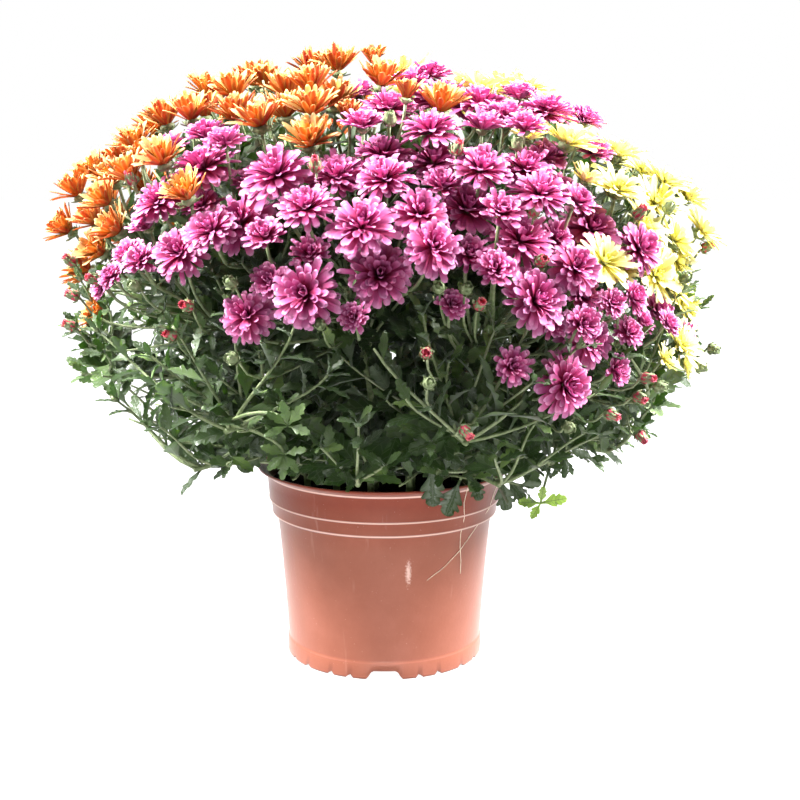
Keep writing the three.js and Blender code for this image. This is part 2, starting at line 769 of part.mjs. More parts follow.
// Tries a straight stalk first and then ones bent aside, until one is clear.
function findElbows(spray, head) {
  const [side, other] = sidesOf(spray.lean, 0);
  const foot = headFoot(head);
  const mine = [spray.name, head.name];
  const stalks = `${spray.name} stalk`;
  for (let attempt = 0; attempt < STALK_TRIES; attempt += 1) {
    const elbows = [];
    if (attempt > 0) {
      const angle = attempt * GOLDEN_ANGLE;
      const bend = LEAST_ELBOW + ELBOW_STEP * attempt;
      const elbow = mix(head.start, foot, 0.4 + 0.07 * (attempt % 5));
      elbow.addScaledVector(side, bend * Math.cos(angle));
      elbows.push(elbow.addScaledVector(other, bend * Math.sin(angle)));
    }
    const way = [head.start, ...elbows, foot];
    const nod = head.axis.angleTo(foot.clone().sub(way[way.length - 2]));
    const begin = way[0].clone().add(way[1].clone().sub(way[0]).setLength(STALK_CLEAR_FROM));
    const beyond = [begin, ...way.slice(1)];
    const clear = nod < MOST_BEND
      && isClear(rodSolid(way, STALK_R + STALK_AIR), ...mine, stalks)
      && isClear(rodSolid([way[0], begin], PEDUNCLE_R + STALK_AIR), ...mine, stalks)
      && isClear(rodSolid(beyond, STALK_R + STALK_AIR), ...mine);
    if (clear) {
      keep(stalks, rodSolid(beyond, STALK_R));
      keep(spray.name, rodSolid(way, STALK_R));
      return elbows;
    }
  }
  throw new Error(`${head.name} has no clear way`);
}

// The spray's own stem, in levels, with an opening for each head in the list.
function sprayStem(spray, grown) {
  const body = new Body();
  const [side] = sidesOf(spray.lean, 0);
  const ringAt = (height) => {
    const centre = spray.foot.clone().addScaledVector(spray.lean, height);
    return body.ring(ringOf(centre, spray.lean, side, PEDUNCLE_R, 3));
  };
  let low = ringAt(0);
  body.capStart(low);
  const openings = new Map();
  for (const head of spray.heads.slice(0, -1)) {
    if (grown.includes(head)) {
      const under = ringAt(head.level);
      body.join(low, under);
      low = ringAt(head.level + head.tall);
      const toHead = (head.elbows[0] ?? headFoot(head)).clone().sub(head.start);
      const openSide = faceTowards(under, low, body.points, toHead);
      openings.set(head, body.level(under, low, [openSide])[openSide]);
    }
  }
  const fork = ringAt(spray.fork.distanceTo(spray.foot));
  body.join(low, fork);
  openings.set(spray.heads[spray.heads.length - 1], fork);
  return { body, openings };
}

function sprayEnd(body) {
  const count = body.points.length;
  return [count - 3, count - 2, count - 1];
}

// One head and its stalk as a solid of its own, from a ring of corners.
function branchSolid(corners, head) {
  const body = new Body();
  const start = body.ring(corners);
  body.capStart(start);
  addHead(body, start, head, head.elbows, head.size);
  return body.solid();
}

// Heads grow out of the stem's faces. One that would run into another close to the
// stem is rooted inside the stem and joined to it instead.
function spraySolid(spray) {
  const { heads } = spray;
  const trial = sprayStem(spray, heads);
  const bare = sprayStem(spray, []).body;
  bare.capEnd(sprayEnd(bare));
  const solids = [bare.solid()];
  const grown = [];
  const rooted = [];
  for (const head of [...heads].reverse()) {
    const corners = trial.openings.get(head).map((i) => trial.body.points[i]);
    const solid = branchSolid(corners, head);
    const free = solids.every((other) => solid.intersect(other).volume() < TOUCH_VOLUME);
    (free ? grown : rooted).push(head);
    if (free) {
      solids.push(solid);
    }
  }
  const { body, openings } = sprayStem(spray, grown);
  for (const head of grown) {
    addHead(body, openings.get(head), head, head.elbows, head.size);
  }
  const roots = rooted.map((head) => {
    const ahead = (head.elbows[0] ?? headFoot(head)).clone().sub(head.start).normalize();
    const [side] = sidesOf(ahead, 0);
    return branchSolid(ringOf(head.start, ahead, side, ROOTED_R, 3), head);
  });
  return wasm.Manifold.union([body.solid(), ...roots]);
}

// ---------------------------------------------------------------- leafy stems
// A stem rises upright out of the soil and then leans out to its tip. It has a ring at
// every bend of its path: the end of its root, the soil line, its bare foot, its leaves.
function layStem(stem, attempt) {
  const { tip, lean, jointCount } = stem;
  const bearing = Math.atan2(tip.y, tip.x) + (attempt % 2 ? 0.06 : -0.06) * attempt;
  const spread = stem.spread * (1 - 0.03 * attempt);
  const foot = vec(Math.cos(bearing) * spread, Math.sin(bearing) * spread, SOIL_TOP_Z + 3);
  const rise = foot.clone().addScaledVector(UP, 0.42 * foot.distanceTo(tip));
  const arrive = tip.clone().addScaledVector(lean, -0.34 * foot.distanceTo(tip));
  const curve = new THREE.CubicBezierCurve3(foot, rise, arrive, tip);
  const length = curve.getLength();
  const all = Array.from({ length: jointCount }, (_, i) => 1 - (LEAF_FIRST + LEAF_SPACING * i) / length);
  const joints = all.filter((share) => share > 0 && curve.getPointAt(share).z > stem.leavesFrom).reverse();
  const bare = [0.3, 0.65].map((part) => part * (joints[0] ?? 1));
  const rings = [
    { p: foot.clone().setZ(SOIL_TOP_Z - ROOT_DEPTH + GAP), along: UP, share: 0 },
    { p: foot, along: UP, share: 0 },
  ];
  for (const share of [...bare, ...joints, 1]) {
    const bears = joints.includes(share);
    rings.push({ p: curve.getPointAt(share), along: curve.getTangentAt(share), share, bears });
  }
  let side = ACROSS.clone();
  for (const ring of rings) {
    side = side.clone().addScaledVector(ring.along, -side.dot(ring.along)).normalize();
    side.applyAxisAngle(ring.along, ring.share > 0 ? STEM_TWIST : 0);
    ring.side = side;
  }
  stem.rings = rings;
}

function stemTrial(stem, grow) {
  return rodSolid(stem.rings.map((ring) => ring.p), STEM_R + grow);
}

// The stem that carries a spray ends just under it.
function flowerStem(spray, i) {
  return {
    name: numbered('leafy_stem', i),
    k: i,
    tip: spray.foot.clone().addScaledVector(spray.lean, -GAP),
    lean: spray.lean,
    spread: STEM_SPREAD_R * Math.hypot(spray.lean.x, spray.lean.y),
    jointCount: STEM_JOINTS,
    leavesFrom: STEM_LEAVES_FROM_Z,
  };
}

function lowShoot([bearing, reach, height], i) {
  const angle = THREE.MathUtils.degToRad(bearing);
  return {
    name: numbered('leafy_shoot', i),
    k: 50 + i,
    tip: vec(Math.cos(angle) * reach, Math.sin(angle) * reach, height),
    lean: vec(Math.cos(angle), Math.sin(angle), -SHOOT_DROOP).normalize(),
    spread: SHOOT_SPREAD_R,
    jointCount: SHOOT_JOINTS,
    leavesFrom: SHOOT_LEAVES_FROM_Z,
  };
}

// Moves a stem's foot until the stem is clear of the pot and of the stems before it.
function placeStem(stem) {
  for (let attempt = 0; attempt < STEM_TRIES; attempt += 1) {
    layStem(stem, attempt);
    if (isClear(stemTrial(stem, GAP))) {
      keep(stem.name, stemTrial(stem, 0));
      return;
    }
  }
  throw new Error(`${stem.name} has no clear way`);
}

// A leaf out of one face of its stem, turned a little aside.
function leafAt(stem, joint, face, size) {
  const k = joint.k * 3 + face;
  const away = joint.side.clone().applyAxisAngle(joint.along, ((2 * face + 1) * Math.PI) / 3);
  away.applyAxisAngle(joint.along, 0.8 * (draw(k, 20) - 0.5));
  const way = away.multiplyScalar(0.86).addScaledVector(joint.along, 0.3 + 0.4 * draw(k, 23)).normalize();
  const length = LEAF_LENGTH * size * (0.85 + 0.3 * draw(k, 21));
  const upper = joint.along.clone().addScaledVector(UP, 0.4);
  return { root: joint.p, way, face: upper, length, droop: 0.1 + 0.25 * draw(k, 22) };
}

// The air round the thick base of a leaf.
function leafBase(leaf) {
  const end = leaf.root.clone().addScaledVector(leaf.way, LEAF_BASE * leaf.length);
  return rodSolid([leaf.root, end], LEAF_JOINT / 2 + GAP);
}

// Leaves grow where the air is free, and only towards the light outside.
function growLeaves(stem) {
  stem.rings.forEach((ring, i) => {
    ring.k = stem.k * 16 + i;
    ring.leaves = [null, null, null];
    for (let face = 0; ring.bears && face < ring.leaves.length; face += 1) {
      for (const size of LEAF_SIZES) {
        const leaf = ring.leaves[face] ? null : leafAt(stem, ring, face, size);
        const lit = leaf && domeOutward(leaf.root).dot(leaf.way) > LEAF_LEAST_LIT;
        const free = lit && isClear(leafSolid(leaf, LEAF_HALF_THICK + GAP));
        if (free && isClear(leafBase(leaf), stem.name)) {
          keep(stem.name, leafBase(leaf));
          keep(`${stem.name} leaf`, leafSolid(leaf, LEAF_HALF_THICK));
          ring.leaves[face] = leaf;
        }
      }
    }
  });
}

function stemSolid(stem) {
  const body = new Body();
  const ringAt = (ring, shift) => {
    const centre = ring.p.clone().addScaledVector(ring.along, shift);
    const radius = THREE.MathUtils.lerp(STEM_R, STEM_TIP_R, ring.share);
    return body.ring(ringOf(centre, ring.along, ring.side, radius, 3));
  };
  let low = ringAt(stem.rings[0], 0);
  body.capStart(low);
  for (const ring of stem.rings.slice(1)) {
    const faces = [0, 1, 2].filter((face) => ring.leaves[face]);
    const next = ringAt(ring, faces.length ? -LEAF_JOINT / 2 : 0);
    body.join(low, next);
    low = next;
    if (faces.length) {
      const over = ringAt(ring, LEAF_JOINT / 2);
      const openings = body.level(next, over, faces);
      faces.forEach((face) => addLeaf(body, ring.leaves[face], openings[face], LEAF_HALF_THICK));
      low = over;
    }
  }
  body.capEnd(low);
  return body.solid();
}

// ---------------------------------------------------------------- pot and soil
function lathe(profile) {
  const points = profile.map(([r, z]) => new THREE.Vector2(r, z));
  const geometry = new THREE.LatheGeometry(points, POT_SIDES);
  geometry.rotateX(Math.PI / 2);
  return solidOf(geometry);
}

// A flat outline pushed straight up from z = 0.
function upright(corners, height) {
  const outline = new THREE.Shape(corners.map(([x, y]) => new THREE.Vector2(x, y)));
  return new THREE.ExtrudeGeometry(outline, { depth: height, bevelEnabled: false });
}

// The foot's openings: a tapering slot through the wall on each of the four sides.
function footNotch(bearing) {
  const corners = [
    [-NOTCH_FOOT_WIDTH / 2, -1], [NOTCH_FOOT_WIDTH / 2, -1],
    [NOTCH_TOP_WIDTH / 2, NOTCH_HEIGHT], [-NOTCH_TOP_WIDTH / 2, NOTCH_HEIGHT],
  ];
  const geometry = upright(corners, FOOT_R);
  geometry.rotateX(Math.PI / 2);
  geometry.rotateZ(bearing + Math.PI / 2);
  geometry.translate(0.25 * FOOT_R * Math.cos(bearing), 0.25 * FOOT_R * Math.sin(bearing), 0);
  return solidOf(geometry);
}

function drainHole(bearing) {
  const geometry = new THREE.CylinderGeometry(DRAIN_HOLE_R, DRAIN_HOLE_R, 4 * FLOOR_TOP_Z, 6);
  geometry.rotateX(Math.PI / 2);
  geometry.translate(DRAIN_RING_R * Math.cos(bearing), DRAIN_RING_R * Math.sin(bearing), 0);
  return solidOf(geometry);
}

function potSolid() {
  let pot = lathe([
    [0, FLOOR_UNDER_Z], [FOOT_R - 5, FLOOR_UNDER_Z], [FOOT_R - 4, 0], [FOOT_R, 0],
    [FOOT_STEP_R, FOOT_STEP_Z], [BODY_TOP_R, LOWER_RING_Z - 2], [LOWER_RING_R, LOWER_RING_Z],
    [UPPER_RING_R - 1, UPPER_RING_Z - 1], [UPPER_RING_R, UPPER_RING_Z], [COLLAR_R, COLLAR_Z],
    [LIP_R, POT_HEIGHT - 1], [LIP_R - 0.8, POT_HEIGHT], [COLLAR_R - 1, COLLAR_Z + 1.5],
    [BODY_TOP_R - WALL, LOWER_RING_Z - 4],
    [FOOT_STEP_R - WALL, FLOOR_TOP_Z], [0, FLOOR_TOP_Z],
  ]);
  for (let i = 0; i < 4; i += 1) {
    pot = pot.subtract(footNotch((i * Math.PI) / 2));
  }
  for (let i = 0; i < DRAIN_HOLES; i += 1) {
    pot = pot.subtract(drainHole(((i + 0.5) * 2 * Math.PI) / DRAIN_HOLES));
  }
  return pot;
}

// Each stem stands in a plain three-sided hole of its own.
function soilSolid() {
  let soil = lathe([
    [0, FLOOR_TOP_Z + GAP], [FOOT_STEP_R - WALL - 2 * GAP, FLOOR_TOP_Z + GAP],
    [BODY_TOP_R - WALL - 2 * GAP, LOWER_RING_Z - 4], [SOIL_EDGE_R, SOIL_EDGE_Z], [0, SOIL_TOP_Z],
  ]);
  for (const stem of stems) {
    const bottom = stem.rings[0].p.clone().setZ(SOIL_TOP_Z - ROOT_DEPTH);
    const top = stem.rings[0].p.clone().setZ(SOIL_TOP_Z + ROOT_DEPTH);
    soil = soil.subtract(postSolid(bottom, top, STEM_R + 2 * GAP));
  }
  return soil;
}

function postSolid(bottom, top, radius) {
  const body = new Body();
  const low = body.ring(ringOf(bottom, UP, ACROSS, radius, 3));
  const high = body.ring(ringOf(top, UP, ACROSS, radius, 3));
  body.capStart(low);
  body.join(low, high);
  body.capEnd(high);
  return body.solid();
}

// ---------------------------------------------------------------- the whole plant
const front = frontBlooms();
easeApart(front);
const sprays = makeSprays([...front, ...backBlooms(front)], makeBuds());
const stems = [...sprays.map(flowerStem), ...LOW_SHOOTS.map(lowShoot)];

const pot = potSolid();
keep('pot', pot);
stems.forEach(placeStem);
for (const spray of sprays) {
  keep(spray.name, rodSolid([spray.foot, spray.fork], PEDUNCLE_R));
}
for (const spray of sprays) {
  spray.heads.forEach((head) => placeHead(spray, head));
}
for (const spray of sprays) {
  for (const head of spray.heads) {
    head.elbows = findElbows(spray, head);
  }
}
stems.forEach(growLeaves);

function toMesh(name, solid, look) {
  const mesh = solid.getMesh();
  const geometry = new THREE.BufferGeometry();
  geometry.setAttribute('position', new THREE.BufferAttribute(mesh.vertProperties, 3));
  geometry.setIndex(new THREE.BufferAttribute(mesh.triVerts, 1));
  const out = new THREE.Mesh(geometry, new THREE.MeshStandardMaterial(look));
  out.name = name;
  return out;
}

const group = new THREE.Group();
group.add(toMesh('pot', pot, LOOKS.pot));
group.add(toMesh('soil', soilSolid(), LOOKS.soil));
for (const spray of sprays) {
  group.add(toMesh(spray.name, spraySolid(spray), LOOKS[spray.colour]));
}
for (const stem of stems) {
  group.add(toMesh(stem.name, stemSolid(stem), LOOKS.leaf));
}

export default group;
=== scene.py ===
# Pot chrysanthemum in a terracotta-coloured plastic pot: pink, orange and yellow
# garden mums rooted together, flowering as one dome over dark lobed leaves.
import math

import bpy
import numpy as np
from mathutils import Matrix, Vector


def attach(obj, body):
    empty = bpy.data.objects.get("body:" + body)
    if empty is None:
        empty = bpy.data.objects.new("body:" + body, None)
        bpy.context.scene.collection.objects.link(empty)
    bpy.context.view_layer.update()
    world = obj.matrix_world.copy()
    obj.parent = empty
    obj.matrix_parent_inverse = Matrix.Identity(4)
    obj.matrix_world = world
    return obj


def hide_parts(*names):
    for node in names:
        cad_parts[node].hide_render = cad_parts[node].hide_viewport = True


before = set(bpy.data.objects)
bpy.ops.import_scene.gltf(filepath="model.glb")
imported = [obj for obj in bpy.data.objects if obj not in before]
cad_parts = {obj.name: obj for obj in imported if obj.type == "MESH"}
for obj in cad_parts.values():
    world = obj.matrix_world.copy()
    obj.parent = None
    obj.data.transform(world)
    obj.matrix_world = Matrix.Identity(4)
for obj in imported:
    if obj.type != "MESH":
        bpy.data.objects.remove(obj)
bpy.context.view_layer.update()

MM = 0.001

# ---------------------------------------------------------------- camera, light and floor
# A white studio: a level white floor that glows softly, and a white surround that is
# bright behind the bush and dark in front of it. Two large soft lamps stand high on both
# sides, a weak one in front, and a narrow one lights the pot from low down.
EYE_DISTANCE = 1100
EYE_HEIGHT = 401
LOOK_DOWN = math.radians(10.79)
LENS = 67.6
SIDE_SHIFT = 0.0195
BACK_GLOW = 0.9
FRONT_GLOW = 0.06
GLOW_STARTS = -0.1
GLOW_FULL = 0.5
SEEN_GLOW = 1.0
FLOOR_HALF = 6.0
FLOOR_GLOW = 0.5
FLOOR_SHADE = (0.15, 0.15, 0.15, 1)
WHITE = (1, 1, 1, 1)
# Each lamp: its place, the height on the pot's axis that it is aimed at and its width, in
# metres, then the angle of its beam in degrees and its watts.
LAMPS = {
    "left_lamp": ((-1.1, -0.2, 1.35), 0.3, 0.6, 180, 165),
    "right_lamp": ((1.15, 0.0, 1.15), 0.3, 0.6, 180, 150),
    "front_lamp": ((-0.9, -1.4, 1.5), 0.3, 0.9, 180, 2.6),
    "low_lamp": ((0, -0.95, 0.12), -0.03, 0.3, 26, 0.3),
}


def add_node(owner, kind, inputs=(), settings=()):
    """A node of a material or world; inputs are named by their socket's name or number."""
    node = owner.node_tree.nodes.new(kind)
    for name, value in dict(settings).items():
        setattr(node, name, value)
    for socket, value in dict(inputs).items():
        if isinstance(value, bpy.types.NodeSocket):
            owner.node_tree.links.new(value, node.inputs[socket])
        else:
            node.inputs[socket].default_value = value
    return node


def ranged(owner, value, lowest=0.0, highest=1.0, at_lowest=0.0, at_highest=1.0):
    """A value carried over from one range to another, and held at its ends."""
    names = ("Value", "From Min", "From Max", "To Min", "To Max")
    inputs = dict(zip(names, (value, lowest, highest, at_lowest, at_highest)))
    return add_node(owner, "ShaderNodeMapRange", inputs).outputs["Result"]


def glow_for_eye(owner, socket, others):
    """Gives a glow one strength for what it lights and another for how it looks."""
    eye_ray = add_node(owner, "ShaderNodeLightPath").outputs["Is Camera Ray"]
    owner.node_tree.links.new(ranged(owner, eye_ray, at_lowest=others, at_highest=SEEN_GLOW), socket)


def new_material(name, finish):
    """A material and its main shader, with the given settings of that shader."""
    material = bpy.data.materials.new(name)
    material.use_nodes = True
    shader = material.node_tree.nodes["Principled BSDF"]
    for socket, value in finish.items():
        shader.inputs[socket].default_value = value
    return material, shader


studio = bpy.context.scene
studio.view_settings.view_transform = "Standard"
eye = bpy.data.objects.new("camera", bpy.data.cameras.new("camera"))
eye.location = (0, -EYE_DISTANCE * MM, EYE_HEIGHT * MM)
eye.rotation_euler = (math.pi / 2 - LOOK_DOWN, 0, 0)
eye.data.lens = LENS
eye.data.shift_x = SIDE_SHIFT
studio.collection.objects.link(eye)
studio.camera = eye

surround = bpy.data.worlds.new("white_surround")
surround.use_nodes = True
background = surround.node_tree.nodes["Background"]
background.inputs["Color"].default_value = WHITE
way = add_node(surround, "ShaderNodeTexCoord").outputs["Generated"]
backward = add_node(surround, "ShaderNodeSeparateXYZ", {"Vector": way}).outputs["Y"]
glow = ranged(surround, backward, GLOW_STARTS, GLOW_FULL, FRONT_GLOW, BACK_GLOW)
glow_for_eye(surround, background.inputs["Strength"], glow)
studio.world = surround

for name, (place, aim, size, spread, power) in LAMPS.items():
    lamp = bpy.data.objects.new(name, bpy.data.lights.new(name, "AREA"))
    lamp.data.size = size
    lamp.data.energy = power
    lamp.data.spread = math.radians(spread)
    lamp.location = place
    towards = Vector((0, 0, aim)) - lamp.location
    lamp.rotation_euler = towards.to_track_quat("-Z", "Y").to_euler()
    studio.collection.objects.link(lamp)

floor_mesh = bpy.data.meshes.new("floor")
floor_corners = [(-FLOOR_HALF, -FLOOR_HALF, 0), (FLOOR_HALF, -FLOOR_HALF, 0),
                 (FLOOR_HALF, FLOOR_HALF, 0), (-FLOOR_HALF, FLOOR_HALF, 0)]
floor_mesh.from_pydata(floor_corners, [], [(0, 1, 2, 3)])
floor = bpy.data.objects.new("floor", floor_mesh)
white_floor, shader = new_material("white_floor", {
    "Roughness": 0.9, "Specular IOR Level": 0.0, "Base Color": FLOOR_SHADE, "Emission Color": WHITE})
glow_for_eye(white_floor, shader.inputs["Emission Strength"], FLOOR_GLOW)
floor_mesh.materials.append(white_floor)
studio.collection.objects.link(floor)

# ---------------------------------------------------------------- pot
# A blow-moulded nursery pot of thin terracotta-coloured plastic: a tapering body, two
# raised rings under a wide collar, a flared lip, and drainage notches round its foot.
POT_TURNS = 240
# Its outline as (radius, height): from the foot up the wall, over the lip and down the
# inside to the drainage hole in the floor, and back under the floor.
POT_WALL = [
    (73.7, 0), (73.75, 1.2), (73.4, 11.2), (73.2, 11.8), (72.7, 12.4), (72.75, 14), (74.8, 45),
    (77.2, 75), (79.4, 98), (80.5, 106.6), (81.2, 107.8), (83.4, 108.6), (84.2, 109.0), (84.4, 109.5),
    (84.2, 110.0), (84.3, 111), (85.3, 118.4), (85.8, 119.1), (86.7, 119.5), (86.8, 119.9),
    (86.5, 120.3), (86.5, 121.2), (87.3, 131), (87.6, 137.8), (88.2, 138.5), (88.5, 138.9),
    (88.4, 139.3), (89.6, 140.2), (92.8, 141.8),
]
POT_LIP = [
    (94.6, 143.0), (95.0, 143.7), (94.8, 144.3), (94.2, 144.6), (93.4, 144.4), (91.0, 143.0),
    (88.4, 141.4), (87.2, 140.2),
]
POT_INSIDE = [
    (85.6, 131), (84.2, 119), (80.6, 107), (79.0, 103), (72.0, 20), (70.9, 9.2), (69.5, 8.0),
    (40, 8.0), (6, 8.0),
]
POT_UNDER = [(6, 6.2), (40, 6.2), (67.6, 6.2), (69.2, 5.6), (69.9, 3.0), (69.9, 0)]
FOOT_R = 73.7
FOOT_CUT_BELOW = 9
FOOT_CUT_OUTSIDE = 68
WIDE_NOTCHES = 4
WIDE_NOTCH_TALL = 6.4
WIDE_NOTCH_HALF = 13.0
WIDE_NOTCH_SLOPE = 4.0
SMALL_NOTCH_TALL = 3.6
SMALL_NOTCH_HALF = 2.4
SMALL_NOTCHES = (20, 32, 50, 65)
# Painted highlights: a pale line along the crests of the rings and of the collar bead, where
# the rounded ridges catch the light: height and half width.
HIGHLIGHT_CRESTS = ((109.3, 0.6), (119.7, 0.6), (138.9, 0.7))
PLASTIC_TONES = [(0.3, (0.245, 0.072, 0.040)), (0.55, (0.272, 0.084, 0.049)), (0.75, (0.30, 0.097, 0.061))]
POT_ROUGHNESS = (0.34, 0.52)
# Wear, as (from, to) of what drives it and the wear at each: specks, rubbed streaks and a
# ragged scuff. A crest's painted highlight is full in its middle and gone past its edge, in half widths.
SPECK_WEAR = (0.73, 0.78, 0.0, 0.35)
RUB_WEAR = (0.66, 0.8, 0.0, 0.12)
SCUFF_WEAR = (-0.5, 0.2, 0.6, 0.0)
SCUFF_RAGGED = -1.6
CREST_HIGHLIGHT_EDGE = (0.5, 1.6)
CREST_HIGHLIGHT = 0.75
# The pale colour of the wear, also used for the painted highlights on the crests.
WEAR_AND_HIGHLIGHT_TONE = (0.86, 0.62, 0.54, 1)
# Painted shade: the colour darkens up the collar toward the lip, for the shadow that the bush casts there; it
# starts and is full at these heights, in metres.
COLLAR_PAINTED_SHADE = (0.80, 0.44, 0.30, 1)
COLLAR_SHADE_FROM = 0.095
COLLAR_SHADE_FULL = 0.132
SCUFF_PLACE = (0.017, -0.075, 0.081)
SCUFF_SHAPE = (420.0, 15.0, 95.0)
RUB_STRETCH = (1.0, 1.0, 0.08)


def link(material, output, socket):
    material.node_tree.links.new(output, socket)


def object_place(material):
    """The place on the piece itself, in metres."""
    return add_node(material, "ShaderNodeTexCoord").outputs["Object"]


def noise(material, where, scale, detail, roughness=0.5):
    """Cloudy noise between 0 and 1."""
    inputs = {"Vector": where, "Scale": scale, "Detail": detail, "Roughness": roughness}
    return add_node(material, "ShaderNodeTexNoise", inputs).outputs["Fac"]


def reckon(material, operation, *values):
    """One step of arithmetic on numbers and sockets."""
    return add_node(material, "ShaderNodeMath", dict(enumerate(values)), {"operation": operation}).outputs[0]


def reckon_vector(material, operation, *values):
    inputs = dict(enumerate(values))
    return add_node(material, "ShaderNodeVectorMath", inputs, {"operation": operation}).outputs


def mixed(material, share, first, second, way="MIX"):
    """Two colours mixed, the second one by its share."""
    settings = {"data_type": "RGBA", "blend_type": way}
    return add_node(material, "ShaderNodeMix", {0: share, 6: first, 7: second}, settings).outputs[2]


def add_ramp(material, value, stops):
    """Colours from a list of (place, colour) stops."""
    node = add_node(material, "ShaderNodeValToRGB", {"Fac": value})
    ramp = node.color_ramp
    while len(ramp.elements) < len(stops):
        ramp.elements.new(0.5)
    for element, (place, colour) in zip(ramp.elements, stops):
        element.position = place
        element.color = (*colour, 1)
    return node.outputs["Color"]


def add_bump(material, shader, height, strength, depth, sunk=False):
    """Raises the surface, or sinks it, where a value from 0 to 1 is high."""
    inputs = {"Strength": strength, "Distance": depth, "Height": height}
    bump = add_node(material, "ShaderNodeBump", inputs, {"invert": sunk})
    link(material, bump.outputs["Normal"], shader.inputs["Normal"])


class Skin:
    """Points and faces of one piece, gathered part by part, with a tint at each point."""

    def __init__(self):
        self.points = []
        self.tints = []
        self.rims = []
        self.faces = {}
        self.count = 0

    def add(self, points, faces, finish=0, tint=(0, 0, 0, 0), rim=(False,)):
        """rim says which corners of each ring lie on a sharp edge along the form."""
        points = np.asarray(points, float).reshape(-1, 3)
        tint = np.asarray(tint, float)
        if tint.ndim == 1:
            tint = np.broadcast_to(tint, (len(points), 4))
        self.points.append(points)
        self.tints.append(tint.reshape(-1, 4))
        self.rims.append(np.tile(rim, len(points) // len(rim)))
        for rows in faces:
            rows = np.asarray(rows, int)
            if len(rows):
                self.faces.setdefault((rows.shape[1], finish), []).append(rows + self.count)
        self.count += len(points)

    def make(self, name, materials):
        """The piece itself; faces of one size and finish follow each other."""
        points = np.concatenate(self.points) * MM
        mesh = bpy.data.meshes.new(name)
        mesh.vertices.add(len(points))
        mesh.vertices.foreach_set("co", points.ravel().astype(np.float32))
        corners, sizes, finishes = [], [], []
        for (size, finish), blocks in sorted(self.faces.items()):
            rows = np.concatenate(blocks)
            corners.append(rows.ravel())
            sizes.append(np.full(len(rows), size))
            finishes.append(np.full(len(rows), finish))
        corners, sizes, finishes = (np.concatenate(x) for x in (corners, sizes, finishes))
        mesh.loops.add(len(corners))
        mesh.loops.foreach_set("vertex_index", corners.astype(np.int32))
        mesh.polygons.add(len(sizes))
        starts = np.concatenate([[0], np.cumsum(sizes)[:-1]])
        mesh.polygons.foreach_set("loop_start", starts.astype(np.int32))
        mesh.polygons.foreach_set("material_index", finishes.astype(np.int32))
        mesh.polygons.foreach_set("use_smooth", np.ones(len(sizes), bool))
        tint = mesh.color_attributes.new("tint", "FLOAT_COLOR", "POINT")
        tint.data.foreach_set("color", np.concatenate(self.tints).ravel().astype(np.float32))
        mesh.update(calc_edges=True)
        mesh.validate()
        ends = np.empty(len(mesh.edges) * 2, np.int32)
        mesh.edges.foreach_get("vertices", ends)
        rim = np.concatenate(self.rims)[ends].reshape(-1, 2).all(1)
        mesh.attributes.new("sharp_edge", "BOOLEAN", "EDGE").data.foreach_set("value", rim)
        for material in materials:
            mesh.materials.append(material)
        piece = bpy.data.objects.new(name, mesh)
        studio.collection.objects.link(piece)
        return piece


def strip_faces(rings, around):
    """Quads between closed rings of points that follow each other."""
    ring, corner = np.meshgrid(np.arange(rings - 1), np.arange(around), indexing="ij")
    after = (corner + 1) % around
    quads = np.stack([ring * around + corner, ring * around + after,
                      (ring + 1) * around + after, (ring + 1) * around + corner], -1)
    return quads.reshape(-1, 4)


def end_caps(rings, around):
    """One face over each end of a row of rings."""
    last = (rings - 1) * around
    return [list(range(around))[::-1], list(range(last, last + around))]


def turn_between(a, b):
    return abs((a - b + math.pi) % (2 * math.pi) - math.pi)


def notch_height(turn):
    """How high the foot is cut away at an angle round the pot: four wide notches, and
    small V-shaped ones on both sides of the front and back ones."""
    spacing = 2 * math.pi / WIDE_NOTCHES
    away = min(turn_between(turn, i * spacing) for i in range(WIDE_NOTCHES)) * FOOT_R
    height = WIDE_NOTCH_TALL * min(max((WIDE_NOTCH_HALF - away) / WIDE_NOTCH_SLOPE, 0), 1)
    for degrees in SMALL_NOTCHES:
        for middle in (90 + degrees, 90 - degrees, 270 + degrees, 270 - degrees):
            away = turn_between(turn, math.radians(middle)) * FOOT_R
            height = max(height, SMALL_NOTCH_TALL * max(1 - away / SMALL_NOTCH_HALF, 0))
    return height


turns = np.linspace(0, 2 * math.pi, POT_TURNS, endpoint=False)
foot_cut = np.array([notch_height(turn) for turn in turns])


def ring_at(r, height):
    """A level ring of points round the pot's axis, at one height or one for each point."""
    return np.stack([r * np.cos(turns), r * np.sin(turns), np.broadcast_to(height, POT_TURNS)], -1)


pot_rings = []
for r, z in POT_WALL + POT_LIP + POT_INSIDE + POT_UNDER:
    in_foot = z < FOOT_CUT_BELOW and r > FOOT_CUT_OUTSIDE
    pot_rings.append(ring_at(r, np.maximum(z, foot_cut) if in_foot else z))
pot_skin = Skin()
last = (len(pot_rings) - 1) * POT_TURNS
around = np.arange(POT_TURNS)
after = (around + 1) % POT_TURNS
closing = np.stack([last + around, last + after, after, around], -1)
pot_skin.add(pot_rings, [strip_faces(len(pot_rings), POT_TURNS), closing])

pot_plastic, shader = new_material("terracotta_plastic", {
    "Specular IOR Level": 0.32, "Sheen Weight": 0.4, "Sheen Roughness": 0.4})
where = object_place(pot_plastic)
height = add_node(pot_plastic, "ShaderNodeSeparateXYZ", {"Vector": where}).outputs["Z"]
mottle = noise(pot_plastic, where, 38.0, 5.0, 0.6)
specks = noise(pot_plastic, where, 900.0, 2.0)
stretch = add_node(pot_plastic, "ShaderNodeMapping", {"Vector": where, "Scale": RUB_STRETCH})
rubs = noise(pot_plastic, stretch.outputs["Vector"], 160.0, 6.0)
wear_and_highlight_masks = [ranged(pot_plastic, specks, *SPECK_WEAR), ranged(pot_plastic, rubs, *RUB_WEAR)]
